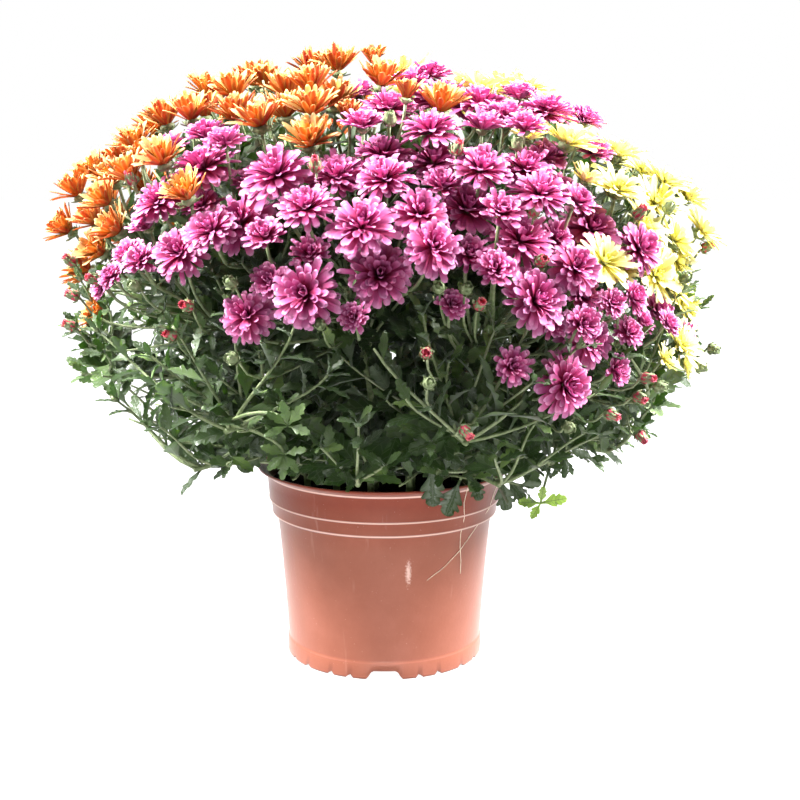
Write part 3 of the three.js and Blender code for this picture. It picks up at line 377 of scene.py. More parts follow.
# Painted highlights: a pale line along each crest, mixed in with the wear.
for crest, half in HIGHLIGHT_CRESTS:
    away = reckon(pot_plastic, "ABSOLUTE", reckon(pot_plastic, "SUBTRACT", height, crest * MM))
    inner, outer = (half * MM * share for share in CREST_HIGHLIGHT_EDGE)
    wear_and_highlight_masks.append(ranged(pot_plastic, away, inner, outer, CREST_HIGHLIGHT, 0.0))
scuff_at = reckon_vector(pot_plastic, "SUBTRACT", where, SCUFF_PLACE)[0]
scuff_at = reckon_vector(pot_plastic, "MULTIPLY", scuff_at, SCUFF_SHAPE)[0]
scuff_far = reckon_vector(pot_plastic, "LENGTH", scuff_at)["Value"]
scuff_edge = reckon(pot_plastic, "MULTIPLY_ADD", specks, SCUFF_RAGGED, scuff_far)
wear_and_highlight = ranged(pot_plastic, scuff_edge, *SCUFF_WEAR)
for one_mask in wear_and_highlight_masks:
    wear_and_highlight = reckon(pot_plastic, "MAXIMUM", wear_and_highlight, one_mask)
body_tone = add_ramp(pot_plastic, mottle, PLASTIC_TONES)
# Painted shade on the collar, under the overhanging bush.
collar_shade = ranged(pot_plastic, height, COLLAR_SHADE_FROM, COLLAR_SHADE_FULL)
tone = mixed(pot_plastic, collar_shade, body_tone, COLLAR_PAINTED_SHADE, "MULTIPLY")
link(pot_plastic, mixed(pot_plastic, wear_and_highlight, tone, WEAR_AND_HIGHLIGHT_TONE), shader.inputs["Base Color"])
link(pot_plastic, ranged(pot_plastic, mottle, 0.0, 1.0, *POT_ROUGHNESS), shader.inputs["Roughness"])
add_bump(pot_plastic, shader, noise(pot_plastic, where, 420.0, 3.0), 0.12, 0.0006)

pot = pot_skin.make("pot_body", [pot_plastic])
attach(pot, "root")
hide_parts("pot")

# ---------------------------------------------------------------- soil
# Dark peat compost, filled to about a centimetre below the lip and lumpy on top, with
# loose crumbs. Two long straws caught under the leaves hang out of it over the lip.
SOIL_EDGE_Z = 131
SOIL_TOP_Z = 134
SOIL_EDGE_R = 84.2
SOIL_MIDDLE_R = 0.4
SOIL_UNDER = [(0.5, 8.4), (70.0, 8.4), (78.2, 105.0)]
SOIL_RINGS = 22
SLOPE_STEEPNESS = 3
LUMP_HEIGHT = 1.6
LUMPS_STEEPNESS = 8
CRUMB = np.array([(1, 0, 0), (0, 1, 0), (-1, 0, 0), (0, -1, 0), (0, 0, 1), (0, 0, -1)], float)
CRUMB_FACES = [(0, 1, 4), (1, 2, 4), (2, 3, 4), (3, 0, 4), (1, 0, 5), (2, 1, 5), (3, 2, 5), (0, 3, 5)]
CRUMBS = 420
CRUMBS_WITHIN_R = 82
CRUMB_LEAST_R = 0.9
CRUMB_MORE_R = 2.2
CRUMB_CORNER = (0.6, 0.8)
CRUMB_SUNK = 0.15
LEVEL_WITHIN_R = 56
SLOPE_WIDTH = 28
PEAT_TONES = [(0.3, (0.006, 0.0045, 0.0035)), (0.6, (0.022, 0.015, 0.011)), (0.8, (0.07, 0.045, 0.03))]
STRAW_TONES = [(0.3, (0.72, 0.58, 0.42)), (0.7, (0.95, 0.86, 0.72))]
STRAW_R = 0.3
STRAW_CORNERS = (0, 2.1, 4.2)
STRAW_OFF_WALL = 0.7
STRAW_LIP_R = 95.6
STRAW_LIP_Z = 144
STRAW_LIP_RISE = 1.5
STRAW_INWARD = 4
# Places on the straws: angle round the pot in degrees, and height.
STRAW_PATHS = [
    [(-24, 149), (-24, 146), (-24, 143), (-24, 130), (-28, 118), (-36, 105), (-47, 92), (-57, 82), (-67, 74)],
    [(-51, 149), (-51, 146), (-51, 143), (-50, 130), (-48.5, 118), (-47.5, 105), (-47, 95), (-45.5, 84),
     (-45, 74)],
]


def draw(k, salt):
    """A fixed draw between 0 and 1 for item number k; each use has its own salt."""
    value = math.sin(k * 127.1 + salt * 311.7) * 43758.5453
    return value - math.floor(value)


def straw_place(turn, height):
    """A point just off the pot's outside, or over its lip where the height is above it."""
    if height > STRAW_LIP_Z:
        r = STRAW_LIP_R - (height - STRAW_LIP_Z) * STRAW_INWARD
        height = STRAW_LIP_Z + STRAW_LIP_RISE
    else:
        wall_r, wall_z = zip(*POT_WALL)
        r = float(np.interp(height, wall_z, wall_r)) + STRAW_OFF_WALL
    angle = math.radians(turn)
    return r * math.cos(angle), r * math.sin(angle), height


def add_straw(skin, places, finish):
    """A thin three-sided straw through a row of places."""
    places = np.asarray(places, float)
    ways = np.gradient(places, axis=0)
    ways /= np.linalg.norm(ways, axis=1)[:, None]
    out = places * (1, 1, 0)
    out /= np.linalg.norm(out, axis=1)[:, None]
    aside = np.cross(ways, out)
    rings = [places + STRAW_R * (math.cos(turn) * out + math.sin(turn) * aside) for turn in STRAW_CORNERS]
    corners = len(STRAW_CORNERS)
    faces = [strip_faces(len(places), corners), end_caps(len(places), corners)]
    skin.add(np.stack(rings, 1), faces, finish)


soil_skin = Skin()
soil_rings = [ring_at(r, z) for r, z in SOIL_UNDER]
for i in range(SOIL_RINGS):
    share = i / (SOIL_RINGS - 1)
    r = max(SOIL_EDGE_R * (1 - share), SOIL_MIDDLE_R)
    z = SOIL_EDGE_Z + (SOIL_TOP_Z - SOIL_EDGE_Z) * min(share * SLOPE_STEEPNESS, 1)
    lumpy = LUMP_HEIGHT * min(share * LUMPS_STEEPNESS, 1)
    lumps = np.array([draw(i * POT_TURNS + j, 40) - 0.5 for j in range(POT_TURNS)])
    soil_rings.append(ring_at(r, z + lumpy * lumps))
rings = len(soil_rings)
soil_skin.add(soil_rings, [strip_faces(rings, POT_TURNS), end_caps(rings, POT_TURNS)])
for i in range(CRUMBS):
    r = CRUMBS_WITHIN_R * math.sqrt(draw(i, 41))
    turn = 2 * math.pi * draw(i, 42)
    size = CRUMB_LEAST_R + CRUMB_MORE_R * draw(i, 43) ** 2
    uneven = np.array([[draw(i * len(CRUMB) + j, 44)] for j in range(len(CRUMB))])
    shape = CRUMB * size * (CRUMB_CORNER[0] + CRUMB_CORNER[1] * uneven)
    rest = SOIL_TOP_Z - (SOIL_TOP_Z - SOIL_EDGE_Z) * max(0, (r - LEVEL_WITHIN_R) / SLOPE_WIDTH)
    middle = np.array([r * math.cos(turn), r * math.sin(turn), rest + size * CRUMB_SUNK])
    soil_skin.add(shape + middle, [CRUMB_FACES], 0, (draw(i, 45), 0, 0, 0))
for path in STRAW_PATHS:
    add_straw(soil_skin, [straw_place(*place) for place in path], 1)

peat, shader = new_material("peat_compost", {"Roughness": 0.95, "Specular IOR Level": 0.1})
lumps = noise(peat, object_place(peat), 260.0, 8.0, 0.7)
link(peat, add_ramp(peat, lumps, PEAT_TONES), shader.inputs["Base Color"])
add_bump(peat, shader, lumps, 0.8, 0.002)
straw, shader = new_material("straw", {"Roughness": 0.6, "Specular IOR Level": 0.3})
streaks = noise(straw, object_place(straw), 500.0, 2.0)
link(straw, add_ramp(straw, streaks, STRAW_TONES), shader.inputs["Base Color"])
soil = soil_skin.make("peat_soil", [peat, straw])
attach(soil, "root")
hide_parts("soil")

# ---------------------------------------------------------------- flower sprays
# Each spray is one cutting's head of double flowers and buds on thin bare stalks, all
# from the top of one green stem. The flowers sit on the skin of the dome.
UP = np.array([0.0, 0.0, 1.0])
ACROSS = np.array([1.0, 0.0, 0.0])
EYE = np.array([0.0, -EYE_DISTANCE, EYE_HEIGHT])
GOLDEN_ANGLE = math.pi * (3 - math.sqrt(5))
# The dome: height of its widest level, half widths there, its rise above and drop below.
DOME_Z = 245
DOME_ACROSS = 240
DOME_DEEP = 234
DOME_RISE = 200
DOME_DROP = 108
DOME_SHOULDER = 2.5
# Where a bloom sits in the dome, and its shape in radii: half its depth and its cup's.
BLOOM_LIFT = 0.98
BLOOM_STRAY = 0.04
BLOOM_FLATNESS = 0.42
BLOOM_UNDER = 0.36
FACE_UP = 0.22
FACE_STRAY = 0.5
# Crowded blooms move apart by small steps: a share of a millimetre sideways, and more in
# depth, where each may end up to EASE_MOST behind its first place and less before it.
EASE_ROUNDS = 60
EASE_WITHIN = 42
EASE_ASIDE = 0.12
EASE_STEP = 1.6
EASE_MOST = 58
EASE_FORWARD_SHARE = 0.3
# At the back: the places of a spiral that the eye can't see, as far as they are free.
SPIRAL_PLACES = 330
BACK_BLOOMS_FROM = 1000
BACK_BLOOM_R = 20
BACK_BLOOM_SIZE = (0.84, 0.3)
BACK_LOWEST_Z = 236
BACK_LEAST_TURN = 0.12
BACK_STRAY = 0.12
BACK_SPACING = 1.25
# The colour patches of the back: colour, bearing in degrees and how little it spreads.
BACK_SHARES = (("pink", -90, 0.32), ("yellow", 35, 0), ("orange", 145, 0))
BUDS_FROM = 2000
BUD_R = 4.2
# How many sprays of each colour, and how stalks leave the stem below its fork: a joint
# is taller where the stalk runs closer to the stem.
SPRAYS = {"pink": 8, "orange": 7, "yellow": 6}
FORK_ORIGIN = np.array([0.0, 0.0, 150.0])
FORK_SHARE = 0.79
SHARING_ROUNDS = 12
MOST_NOD = 1.05
JOINT_THICK = 2.2
JOINT_LEAST = 3.2
JOINT_MOST = 8
STEM_BARE = 8

# The flowers in front: colour, width and (sideways, height) on the flat through the pot's
# axis that faces the eye. Each sits where its line of sight meets the dome.
FRONT_BLOOMS = [
    ("pink", 41, [
        (44, 417), (-72, 361), (64, 338), (-12, 328), (-108, 329), (-134, 372), (-4, 286),
        (-60, 272), (100, 312), (115, 272), (155, 320), (153, 237), (139, 201)]),
    ("pink", 34, [
        (-2, 415), (34, 395), (-58, 343), (-4, 376), (-5, 355), (36, 372), (74, 364), (22, 334),
        (-154, 303), (38, 307), (-104, 255), (144, 290), (190, 304), (-33, 361),
        (-168, 341), (-130, 320), (110, 350), (106, 367), (88, 403), (119, 408), (74, 412)]),
    ("pink", 28, [
        (33, 434), (15, 427), (-21, 420), (98, 418), (147, 401), (73, 397), (104, 394),
        (-17, 398), (-118, 385), (-130, 389), (-162, 380), (-178, 323), (-186, 296),
        (-196, 302), (-136, 338), (-98, 355), (-90, 315), (129, 351), (42, 352), (92, 334),
        (120, 374), (154, 379), (143, 341), (128, 313), (65, 301), (86, 291), (-86, 280),
        (-56, 301), (152, 268), (184, 274), (175, 213), (97, 216), (209, 260), (149, 250)]),
    ("pink", 23, [
        (-212, 277), (-200, 291), (-23, 254), (51, 263), (127, 250), (169, 268), (185, 242),
        (195, 251), (214, 249), (228, 242)]),
    ("orange", 34, [
        (-128, 422), (-133, 406), (-110, 419), (-93, 428), (-113, 404), (-87, 427), (-70, 420),
        (-54, 420), (-72, 408), (-91, 400), (-52, 404), (-56, 387), (-50, 436), (-34, 439),
        (2, 424), (42, 411), (-38, 416), (-142, 404), (-157, 401), (-168, 394), (-183, 382),
        (-164, 372), (-196, 369), (-188, 361), (-215, 359), (-202, 352), (-226, 347),
        (-206, 338), (-216, 330), (-233, 324), (-201, 316), (-211, 307), (-147, 346)]),
    ("orange", 26, [(-9, 443), (16, 419), (-22, 404), (-180, 373)]),
    ("yellow", 35, [
        (68, 425), (104, 425), (135, 387), (169, 379), (174, 351), (194, 364), (206, 355),
        (224, 346), (202, 338), (196, 324), (238, 320), (219, 313), (221, 296), (205, 285),
        (214, 274), (226, 263), (168, 293), (225, 234)]),
    ("yellow", 27, [(105, 388), (151, 358), (182, 288), (214, 222), (229, 218)]),
]
FRONT_BUDS = [
    (-234, 270), (-237, 247), (-149, 262), (-162, 240), (-116, 280), (-116, 222), (-188, 277),
    (-188, 357), (4, 402), (98, 384), (54, 380), (118, 296), (41, 276), (62, 275), (72, 263),
    (32, 226), (34, 203), (-49, 248), (200, 206), (173, 176), (190, 332), (-235, 296),
    (-218, 282), (-51, 368), (112, 334), (212, 336), (240, 306), (226, 283),
    (249, 229), (240, 214), (210, 199), (194, 190), (141, 166), (62, 163), (195, 159),
]


def unit(vector):
    return vector / np.linalg.norm(vector)


def angle_between(a, b):
    return math.acos(max(-1.0, min(1.0, float(np.dot(a, b) / np.linalg.norm(a) / np.linalg.norm(b)))))


def spun(vector, axis, angle):
    """A vector turned about a unit axis."""
    return (vector * math.cos(angle) + np.cross(axis, vector) * math.sin(angle)
            + axis * np.dot(axis, vector) * (1 - math.cos(angle)))


def sides_of(axis, turn):
    """Two directions square to an axis, turned about it."""
    side = unit(np.cross(UP if abs(axis[2]) < 0.9 else ACROSS, axis))
    side = spun(side, axis, turn)
    return side, np.cross(axis, side)


def dome_half(z):
    """Of the upper or lower half of the dome: its height, and how square its shoulder is."""
    return (DOME_RISE, DOME_SHOULDER) if z > DOME_Z else (DOME_DROP, 2)


def dome_level(x, y, z):
    """1 on the dome's skin, less inside it and more outside."""
    height, power = dome_half(z)
    across = math.hypot(x / DOME_ACROSS, y / DOME_DEEP)
    rise = abs(z - DOME_Z) / height
    return (across ** power + rise ** power) ** (1 / power)


def dome_outward(at):
    x, y, z = at
    return unit(np.array([
        dome_level(x + 1, y, z) - dome_level(x - 1, y, z),
        dome_level(x, y + 1, z) - dome_level(x, y - 1, z),
        dome_level(x, y, z + 1) - dome_level(x, y, z - 1)]))


def along_sight(place, y):
    """The point at depth y on the line of sight through a place."""
    share = (y + EYE_DISTANCE) / EYE_DISTANCE
    return np.array([place[0] * share, y, EYE_HEIGHT + (place[1] - EYE_HEIGHT) * share])


def sight_depth(place, level):
    """Depth at which a line of sight meets the dome, or passes it most closely."""
    best, nearest = 0, math.inf
    for y in range(-DOME_DEEP, DOME_DEEP + 1, 2):
        here = dome_level(*along_sight(place, y))
        if here <= level:
            return y
        if here < nearest:
            best, nearest = y, here
    return best


def facing(at, k):
    """Blooms face outward and a little up, each in its own way."""
    stray = np.array([draw(k, 3) - 0.5, draw(k, 4) - 0.5, draw(k, 5) - 0.5])
    return unit(dome_outward(at) + FACE_UP * UP + FACE_STRAY * stray)


def new_bloom(colour, radius, at, k):
    return {"colour": colour, "radius": radius, "at": at, "axis": facing(at, k),
            "turn": 2 * math.pi * draw(k, 7), "k": k, "bud": False}


def bloom_spacing(a, b):
    """Below 1 two blooms would run into each other; blooms count as flat round cushions."""
    ax, ay, az = a["at"]
    bx, by, bz = b["at"]
    dx, dy, dz = bx - ax, by - ay, bz - az
    nx, ny, nz = (p + q for p, q in zip(a["axis"], b["axis"]))
    size = math.sqrt(nx * nx + ny * ny + nz * nz)
    along = (dx * nx + dy * ny + dz * nz) / size
    sideways = math.sqrt(max(dx * dx + dy * dy + dz * dz - along * along, 0))
    reach = a["radius"] + b["radius"]
    return math.hypot(sideways / reach, along / (reach * BLOOM_FLATNESS))


def ease_pair(a, b, home):
    """Moves two blooms apart a little: sideways, and forward and back in depth."""
    near, far = (a, b) if a["y"] < b["y"] else (b, a)
    aside = (a["place"][0] - b["place"][0], a["place"][1] - b["place"][1])
    shift = EASE_ASIDE / math.hypot(*aside)
    a["place"] = (a["place"][0] + aside[0] * shift, a["place"][1] + aside[1] * shift)
    b["place"] = (b["place"][0] - aside[0] * shift, b["place"][1] - aside[1] * shift)
    near["y"] = max(near["y"] - EASE_STEP, home[near["k"]] - EASE_MOST * EASE_FORWARD_SHARE)
    far["y"] = min(far["y"] + EASE_STEP, home[far["k"]] + EASE_MOST)
    near["at"] = along_sight(near["place"], near["y"])
    far["at"] = along_sight(far["place"], far["y"])


def ease_apart(blooms):
    """Blooms that crowd each other on the front part along the line of sight."""
    home = [bloom["y"] for bloom in blooms]
    for _ in range(EASE_ROUNDS):
        for i, a in enumerate(blooms):
            for b in blooms[i + 1:]:
                close = max(abs(a["at"][0] - b["at"][0]), abs(a["at"][2] - b["at"][2])) <= EASE_WITHIN
                if close and bloom_spacing(a, b) < 1:
                    ease_pair(a, b, home)


def back_colour(at):
    bearing = math.atan2(at[1], at[0])
    pulls = [(math.cos(bearing - math.radians(middle)) - bias, colour)
             for colour, middle, bias in BACK_SHARES]
    return max(pulls)[1]


def is_clear(bloom, others):
    return all(bloom_spacing(bloom, other) >= BACK_SPACING for other in others)


front_blooms = []
for colour, diameter, places in FRONT_BLOOMS:
    for place in places:
        k = len(front_blooms)
        y = sight_depth(place, BLOOM_LIFT - BLOOM_STRAY * draw(k, 1))
        bloom = new_bloom(colour, diameter / 2, along_sight(place, y), k)
        front_blooms.append({**bloom, "place": place, "y": y})
ease_apart(front_blooms)
back_blooms = []
for i in range(SPIRAL_PLACES):
    k = BACK_BLOOMS_FROM + i
    rise = 1 - (i + 0.5) / SPIRAL_PLACES
    across = math.sqrt(1 - rise * rise)
    turn = i * GOLDEN_ANGLE
    ray = np.array([across * math.cos(turn) * DOME_ACROSS, across * math.sin(turn) * DOME_DEEP,
                    rise * DOME_RISE])
    centre = np.array([0, 0, DOME_Z])
    at = centre + ray * (1 - BACK_STRAY * draw(k, 1)) / dome_level(*(centre + ray))
    size = BACK_BLOOM_SIZE[0] + BACK_BLOOM_SIZE[1] * draw(k, 2)
    bloom = new_bloom(back_colour(at), BACK_BLOOM_R * size, at, k)
    hidden = np.dot(dome_outward(at), unit(EYE - at)) < BACK_LEAST_TURN
    if hidden and at[2] > BACK_LOWEST_Z and is_clear(bloom, front_blooms + back_blooms):
        back_blooms.append(bloom)
buds = []
for i, place in enumerate(FRONT_BUDS):
    at = along_sight(place, sight_depth(place, 1.0))
    buds.append({"bud": True, "at": at, "axis": facing(at, BUDS_FROM + i), "radius": BUD_R, "turn": 0.0,
                 "k": BUDS_FROM + i})


def share_out(blooms, count):
    """Blooms of one colour are shared out to the nearest of a few well-spread centres."""
    at = np.array([bloom["at"] for bloom in blooms])
    centres = [at[0]]
    while len(centres) < count:
        gaps = np.min([np.linalg.norm(at - centre, axis=1) for centre in centres], axis=0)
        centres.append(at[int(np.argmax(gaps))])
    for _ in range(SHARING_ROUNDS):
        nearest = np.argmin([np.linalg.norm(at - centre, axis=1) for centre in centres], axis=0)
        centres = [at[nearest == i].mean(0) for i in range(count)]
    return [([bloom for bloom, mine in zip(blooms, nearest) if mine == i], centres[i]) for i in range(count)]


def head_foot(head):
    depth = head["radius"] if head["bud"] else BLOOM_UNDER * head["radius"]
    return head["at"] - head["axis"] * depth


def spread_stalks(spray):
    """The stalk that leans out most leaves the stem lowest; the straightest ends it."""
    fork, lean, heads = spray["fork"], spray["lean"], spray["heads"]
    for head in heads:
        stalk = unit(head["at"] - fork)
        nod = angle_between(head["axis"], stalk)
        if nod > MOST_NOD:
            head["axis"] = spun(head["axis"], unit(np.cross(head["axis"], stalk)), nod - MOST_NOD)
        head["off"] = angle_between(head_foot(head) - fork, lean)
        head["tall"] = min(max(JOINT_THICK / math.sin(head["off"]), JOINT_LEAST), JOINT_MOST)
    heads.sort(key=lambda head: -head["off"])
    spray["foot"] = fork - lean * (sum(head["tall"] for head in heads[:-1]) + STEM_BARE)
    height = STEM_BARE
    for head in heads:
        head["start"] = spray["foot"] + lean * (height + head["tall"] / 2)
        height += head["tall"]
    heads[-1]["start"] = fork


sprays = []
for colour, count in SPRAYS.items():
    own = [bloom for bloom in front_blooms + back_blooms if bloom["colour"] == colour]
    for i, (heads, centre) in enumerate(share_out(own, count)):
        fork = FORK_ORIGIN + (centre - FORK_ORIGIN) * FORK_SHARE
        sprays.append({"name": f"{colour}_spray_{i + 1:02d}", "colour": colour, "heads": heads,
                       "fork": fork, "lean": unit(fork - FORK_ORIGIN)})
for bud in buds:
    nearest = min(sprays, key=lambda spray: np.linalg.norm(spray["fork"] - bud["at"]))
    nearest["heads"].append(bud)
for spray in sprays:
    spread_stalks(spray)

# Along a petal: shares of its length, and its half width there by colour of flower.
PETAL_STEPS = np.array([0.0, 0.32, 0.66, 0.91, 1.0])
SHORT_PETAL_STEPS = [0, 2, 3, 4]
SHORT_PETAL = 0.85
PETAL_WIDTHS = {
    "pink": np.array([0.34, 0.66, 0.97, 1.0, 0.5]),
    "orange": np.array([0.38, 0.84, 1.0, 0.72, 0.22]),
    "yellow": np.array([0.36, 0.74, 1.0, 0.86, 0.32]),
}
# Layers of petals from the outermost in: how many, rise of their base and bend up to the
# tip in degrees, length and half width in flower radii, and how deeply they are channelled.
BLOOM_LAYERS = {
    "pink": [
        (18, -4, -22, 0.96, 0.115, 0.3), (17, 9, -28, 0.95, 0.113, 0.35), (16, 21, -28, 0.91, 0.11, 0.4),
        (14, 33, -22, 0.84, 0.107, 0.45), (12, 45, -10, 0.74, 0.102, 0.5), (9, 57, 8, 0.62, 0.094, 0.55),
        (6, 70, 30, 0.48, 0.086, 0.6)],
    "orange": [
        (16, 36, 0, 1.0, 0.118, 0.3), (14, 48, 4, 0.95, 0.114, 0.35), (10, 61, 6, 0.82, 0.104, 0.4),
        (7, 73, 10, 0.6, 0.09, 0.5)],
    "yellow": [
        (14, 14, -8, 0.98, 0.115, 0.25), (13, 26, -12, 0.9, 0.11, 0.3), (8, 42, -6, 0.62, 0.1, 0.35),
        (9, 68, 6, 0.3, 0.07, 0.4)],
}
# Across a petal: how far the left edge, its face, the right edge and its back show its face.
PETAL_FACE = (0.5, 1, 0.5, 0)
PETAL_THICK = 0.5
PETAL_FOOT = (0.1, -0.16)
PETAL_FOOT_STEP = (-0.06, 0.1)
BEND_LATE = 1.3
# How much petals differ from each other, and how fast the inner layers darken toward the
# heart: the petals' deeper colour there, with painted shade where they crowd.
TURN_STRAY = 0.7
LENGTH_STRAY = 0.09
RISE_STRAY = 7
BEND_STRAY = 14
ROLL_STRAY = 0.22
WIDTH_STRAY = 0.1
HEART_SHADE = 2.1
HEART_OPEN = 0.8
# Small flowers are younger: fewer petals, and these stand up more.
SMALL_BLOOM_R = 14.5
SMALL_FEWER = 0.72
SMALL_CLOSING = (16, 22)
MOST_CLOSING = 14
CLOSING_SHARES = {"pink": 1.0, "orange": 0.9, "yellow": 0.5}
# The green cup under a flower and a bud's own body, turned on its axis: (height, half
# width) in its radii. Scales and furled petals are layers as above.
CUP_PROFILE = [(-0.42, 0.05), (-0.38, 0.13), (-0.31, 0.22), (-0.23, 0.27), (-0.15, 0.25), (-0.08, 0.12)]
CUP_SIDES = 10
CUP_TINT = (0.3, 0.6)
CUP_SCALES = (7, 6, 40, 0.34, 0.08, 0.3)
CUP_SCALES_CLOSE = 0.6
CUP_SCALE_FOOT = (0.13, -0.35)
SCALE_DEPTH = 0.5
SEPAL_WIDTHS = np.array([0.7, 1.0, 0.95, 0.6, 0.15])
BUD_PROFILE = [(-1.0, 0.3), (-0.8, 0.62), (-0.4, 0.86), (0.1, 0.86), (0.55, 0.64), (0.95, 0.2)]
BUD_SCALES = ((8, 74, 34, 2.1, 0.34, 0.4), (7, 66, 30, 1.5, 0.34, 0.4), (6, 40, 30, 0.9, 0.3, 0.4))
BUD_SCALE_FOOT = (0.55, -0.9)
BUD_SCALE_STEP = 0.06
BUD_TIP = (10, 84, 12, 1.9, 0.26, 0.5)
BUD_TIP_FOOT = (0.5, -0.4)
BUD_TIP_DEPTH = 0.2
BUD_STRAY = 0.3
BUD_TINT = (0.6, 0.9, 0.2, 1)
FACE_EDGE = (0.15, 0.5)
PETAL_BRIGHT = (0.84, 1.14)
STREAK_BRIGHT = (0.86, 1.14)
# What a spray's materials are called by in its faces.
GREEN, PETAL, LEAF, BUD_PETAL = range(4)


def petal_faces(steps):
    return np.concatenate([strip_faces(steps, 4), end_caps(steps, 4)])


def add_petals(skin, head, layer, share, widths, dice, start, finish=PETAL, stray=1.0):
    """One ring of petals round a flower head. Each is a thin channelled blade with four
    corners across: left edge, middle of its face, right edge, middle of its back."""
    number, rise, bend, length, half_width, channel = layer
    steps = PETAL_STEPS
    if length < SHORT_PETAL:
        steps, widths = steps[SHORT_PETAL_STEPS], widths[SHORT_PETAL_STEPS]
    radius = head["radius"]
    side, other = sides_of(head["face"], head["turn"])
    places = 2 * math.pi * (np.arange(number) + dice.random()) / number
    azimuth = places + dice.normal(0, TURN_STRAY * stray / number, number)
    radial = np.cos(azimuth)[:, None] * side + np.sin(azimuth)[:, None] * other
    across = -np.sin(azimuth)[:, None] * side + np.cos(azimuth)[:, None] * other
    lengths = length * radius * (1 + dice.normal(0, LENGTH_STRAY * stray, number))
    rises = np.radians(rise + dice.normal(0, RISE_STRAY * stray, number))
    bends = np.radians(bend + dice.normal(0, BEND_STRAY * stray, number))
    angles = rises[:, None] + bends[:, None] * steps ** BEND_LATE
    middle = (angles[:, 1:] + angles[:, :-1]) / 2
    gaps = np.diff(steps) * lengths[:, None]
    nothing = np.zeros((number, 1))
    out = start[0] * radius + np.concatenate([nothing, np.cumsum(np.cos(middle) * gaps, 1)], 1)
    up = start[1] * radius + np.concatenate([nothing, np.cumsum(np.sin(middle) * gaps, 1)], 1)
    spine = head["at"] + out[..., None] * radial[:, None] + up[..., None] * head["face"]
    normal = -np.sin(angles)[..., None] * radial[:, None] + np.cos(angles)[..., None] * head["face"]
    roll = dice.normal(0, ROLL_STRAY, number)[:, None, None]
    edges = across[:, None] * np.cos(roll) + normal * np.sin(roll)
    wide = half_width * radius * widths * (1 + dice.normal(0, WIDTH_STRAY, number))[:, None]
    cup = (wide * channel)[..., None] * normal
    thick = 0.5 * PETAL_THICK * normal
    points = np.stack([spine - wide[..., None] * edges + cup, spine + thick,
                       spine + wide[..., None] * edges + cup, spine - thick], 2)
    firsts = np.arange(number) * len(steps) * 4
    faces = petal_faces(len(steps))[None] + firsts[:, None, None]
    tint = np.zeros((number, len(steps), 4, 4))
    tint[..., 0] = steps[None, :, None]
    # The second value says how deep in the head the ring sits, which sets its darker colour and painted
    # shade.
    tint[..., 1] = share
    tint[..., 2] = dice.random(number)[:, None, None]
    tint[..., 3] = PETAL_FACE
    skin.add(points, [faces.reshape(-1, 4)], finish, tint.reshape(-1, 4), np.arange(4) % 2 == 0)


def add_rings(skin, rings, sides, finish, tint):
    """A closed form through rings of points."""
    skin.add(np.array(rings), [strip_faces(len(rings), sides), end_caps(len(rings), sides)], finish, tint)


def add_tube(skin, path, radii, sides, tint=(0, 0, 0, 0)):
    """A round green rod along a row of points."""
    path = np.asarray(path, float)
    ways = np.gradient(path, axis=0)
    ways /= np.linalg.norm(ways, axis=1)[:, None]
    side, _ = sides_of(ways[0], 0)
    rings = []
    angles = np.arange(sides) * 2 * math.pi / sides
    for point, way, radius in zip(path, ways, radii):
        side = unit(side - way * np.dot(side, way))
        other = np.cross(way, side)
        rings.append(point + radius * (np.cos(angles)[:, None] * side + np.sin(angles)[:, None] * other))
    add_rings(skin, rings, sides, GREEN, tint)


def bezier(points, count):
    """Points along a cubic curve."""
    t = np.linspace(0, 1, count)[:, None]
    a, b, c, d = points
    return (1 - t) ** 3 * a + 3 * (1 - t) ** 2 * t * b + 3 * (1 - t) * t ** 2 * c + t ** 3 * d


def add_turned(skin, head, profile, finish, tint):
    """A small round body on a flower head's axis, from (height, half width) in radii."""
    side, other = sides_of(head["face"], head["turn"])
    angles = np.arange(CUP_SIDES) * 2 * math.pi / CUP_SIDES
    spokes = np.cos(angles)[:, None] * side + np.sin(angles)[:, None] * other
    rings = [head["at"] + head["radius"] * (z * head["face"] + r * spokes) for z, r in profile]
    add_rings(skin, rings, CUP_SIDES, finish, tint)


def some(dice, least, more):
    """A drawn measure: at least so much, and up to so much more."""
    return least + more * dice.random()


def add_bloom(skin, head, colour):
    """An open flower: rings of petals in a green cup with a row of narrow scales."""
    dice = np.random.default_rng(head["k"] * 7 + 1)
    small = head["radius"] < SMALL_BLOOM_R
    closing = some(dice, *SMALL_CLOSING) if small else MOST_CLOSING * dice.random() ** 2
    closing = closing * CLOSING_SHARES[colour]
    fewer = SMALL_FEWER if small else 1.0
    layers = BLOOM_LAYERS[colour]
    for i, (number, rise, bend, length, half_width, channel) in enumerate(layers):
        share = i / (len(layers) - 1)
        lifted = rise + closing * (1 - HEART_OPEN * share)
        layer = (round(number * fewer), lifted, bend * fewer, length, half_width / fewer ** 0.5, channel)
        foot = [at + step * share for at, step in zip(PETAL_FOOT, PETAL_FOOT_STEP)]
        # The deeper a layer sits, the darker it is painted: the heart's deeper colour with painted shade.
        add_petals(skin, head, layer, share ** HEART_SHADE, PETAL_WIDTHS[colour], dice, foot)
    add_turned(skin, head, CUP_PROFILE, GREEN, (*CUP_TINT, dice.random(), 1))
    number, rise, *form = CUP_SCALES
    scales = (number, rise + closing * CUP_SCALES_CLOSE, *form)
    add_petals(skin, head, scales, SCALE_DEPTH, SEPAL_WIDTHS, dice, CUP_SCALE_FOOT, GREEN)


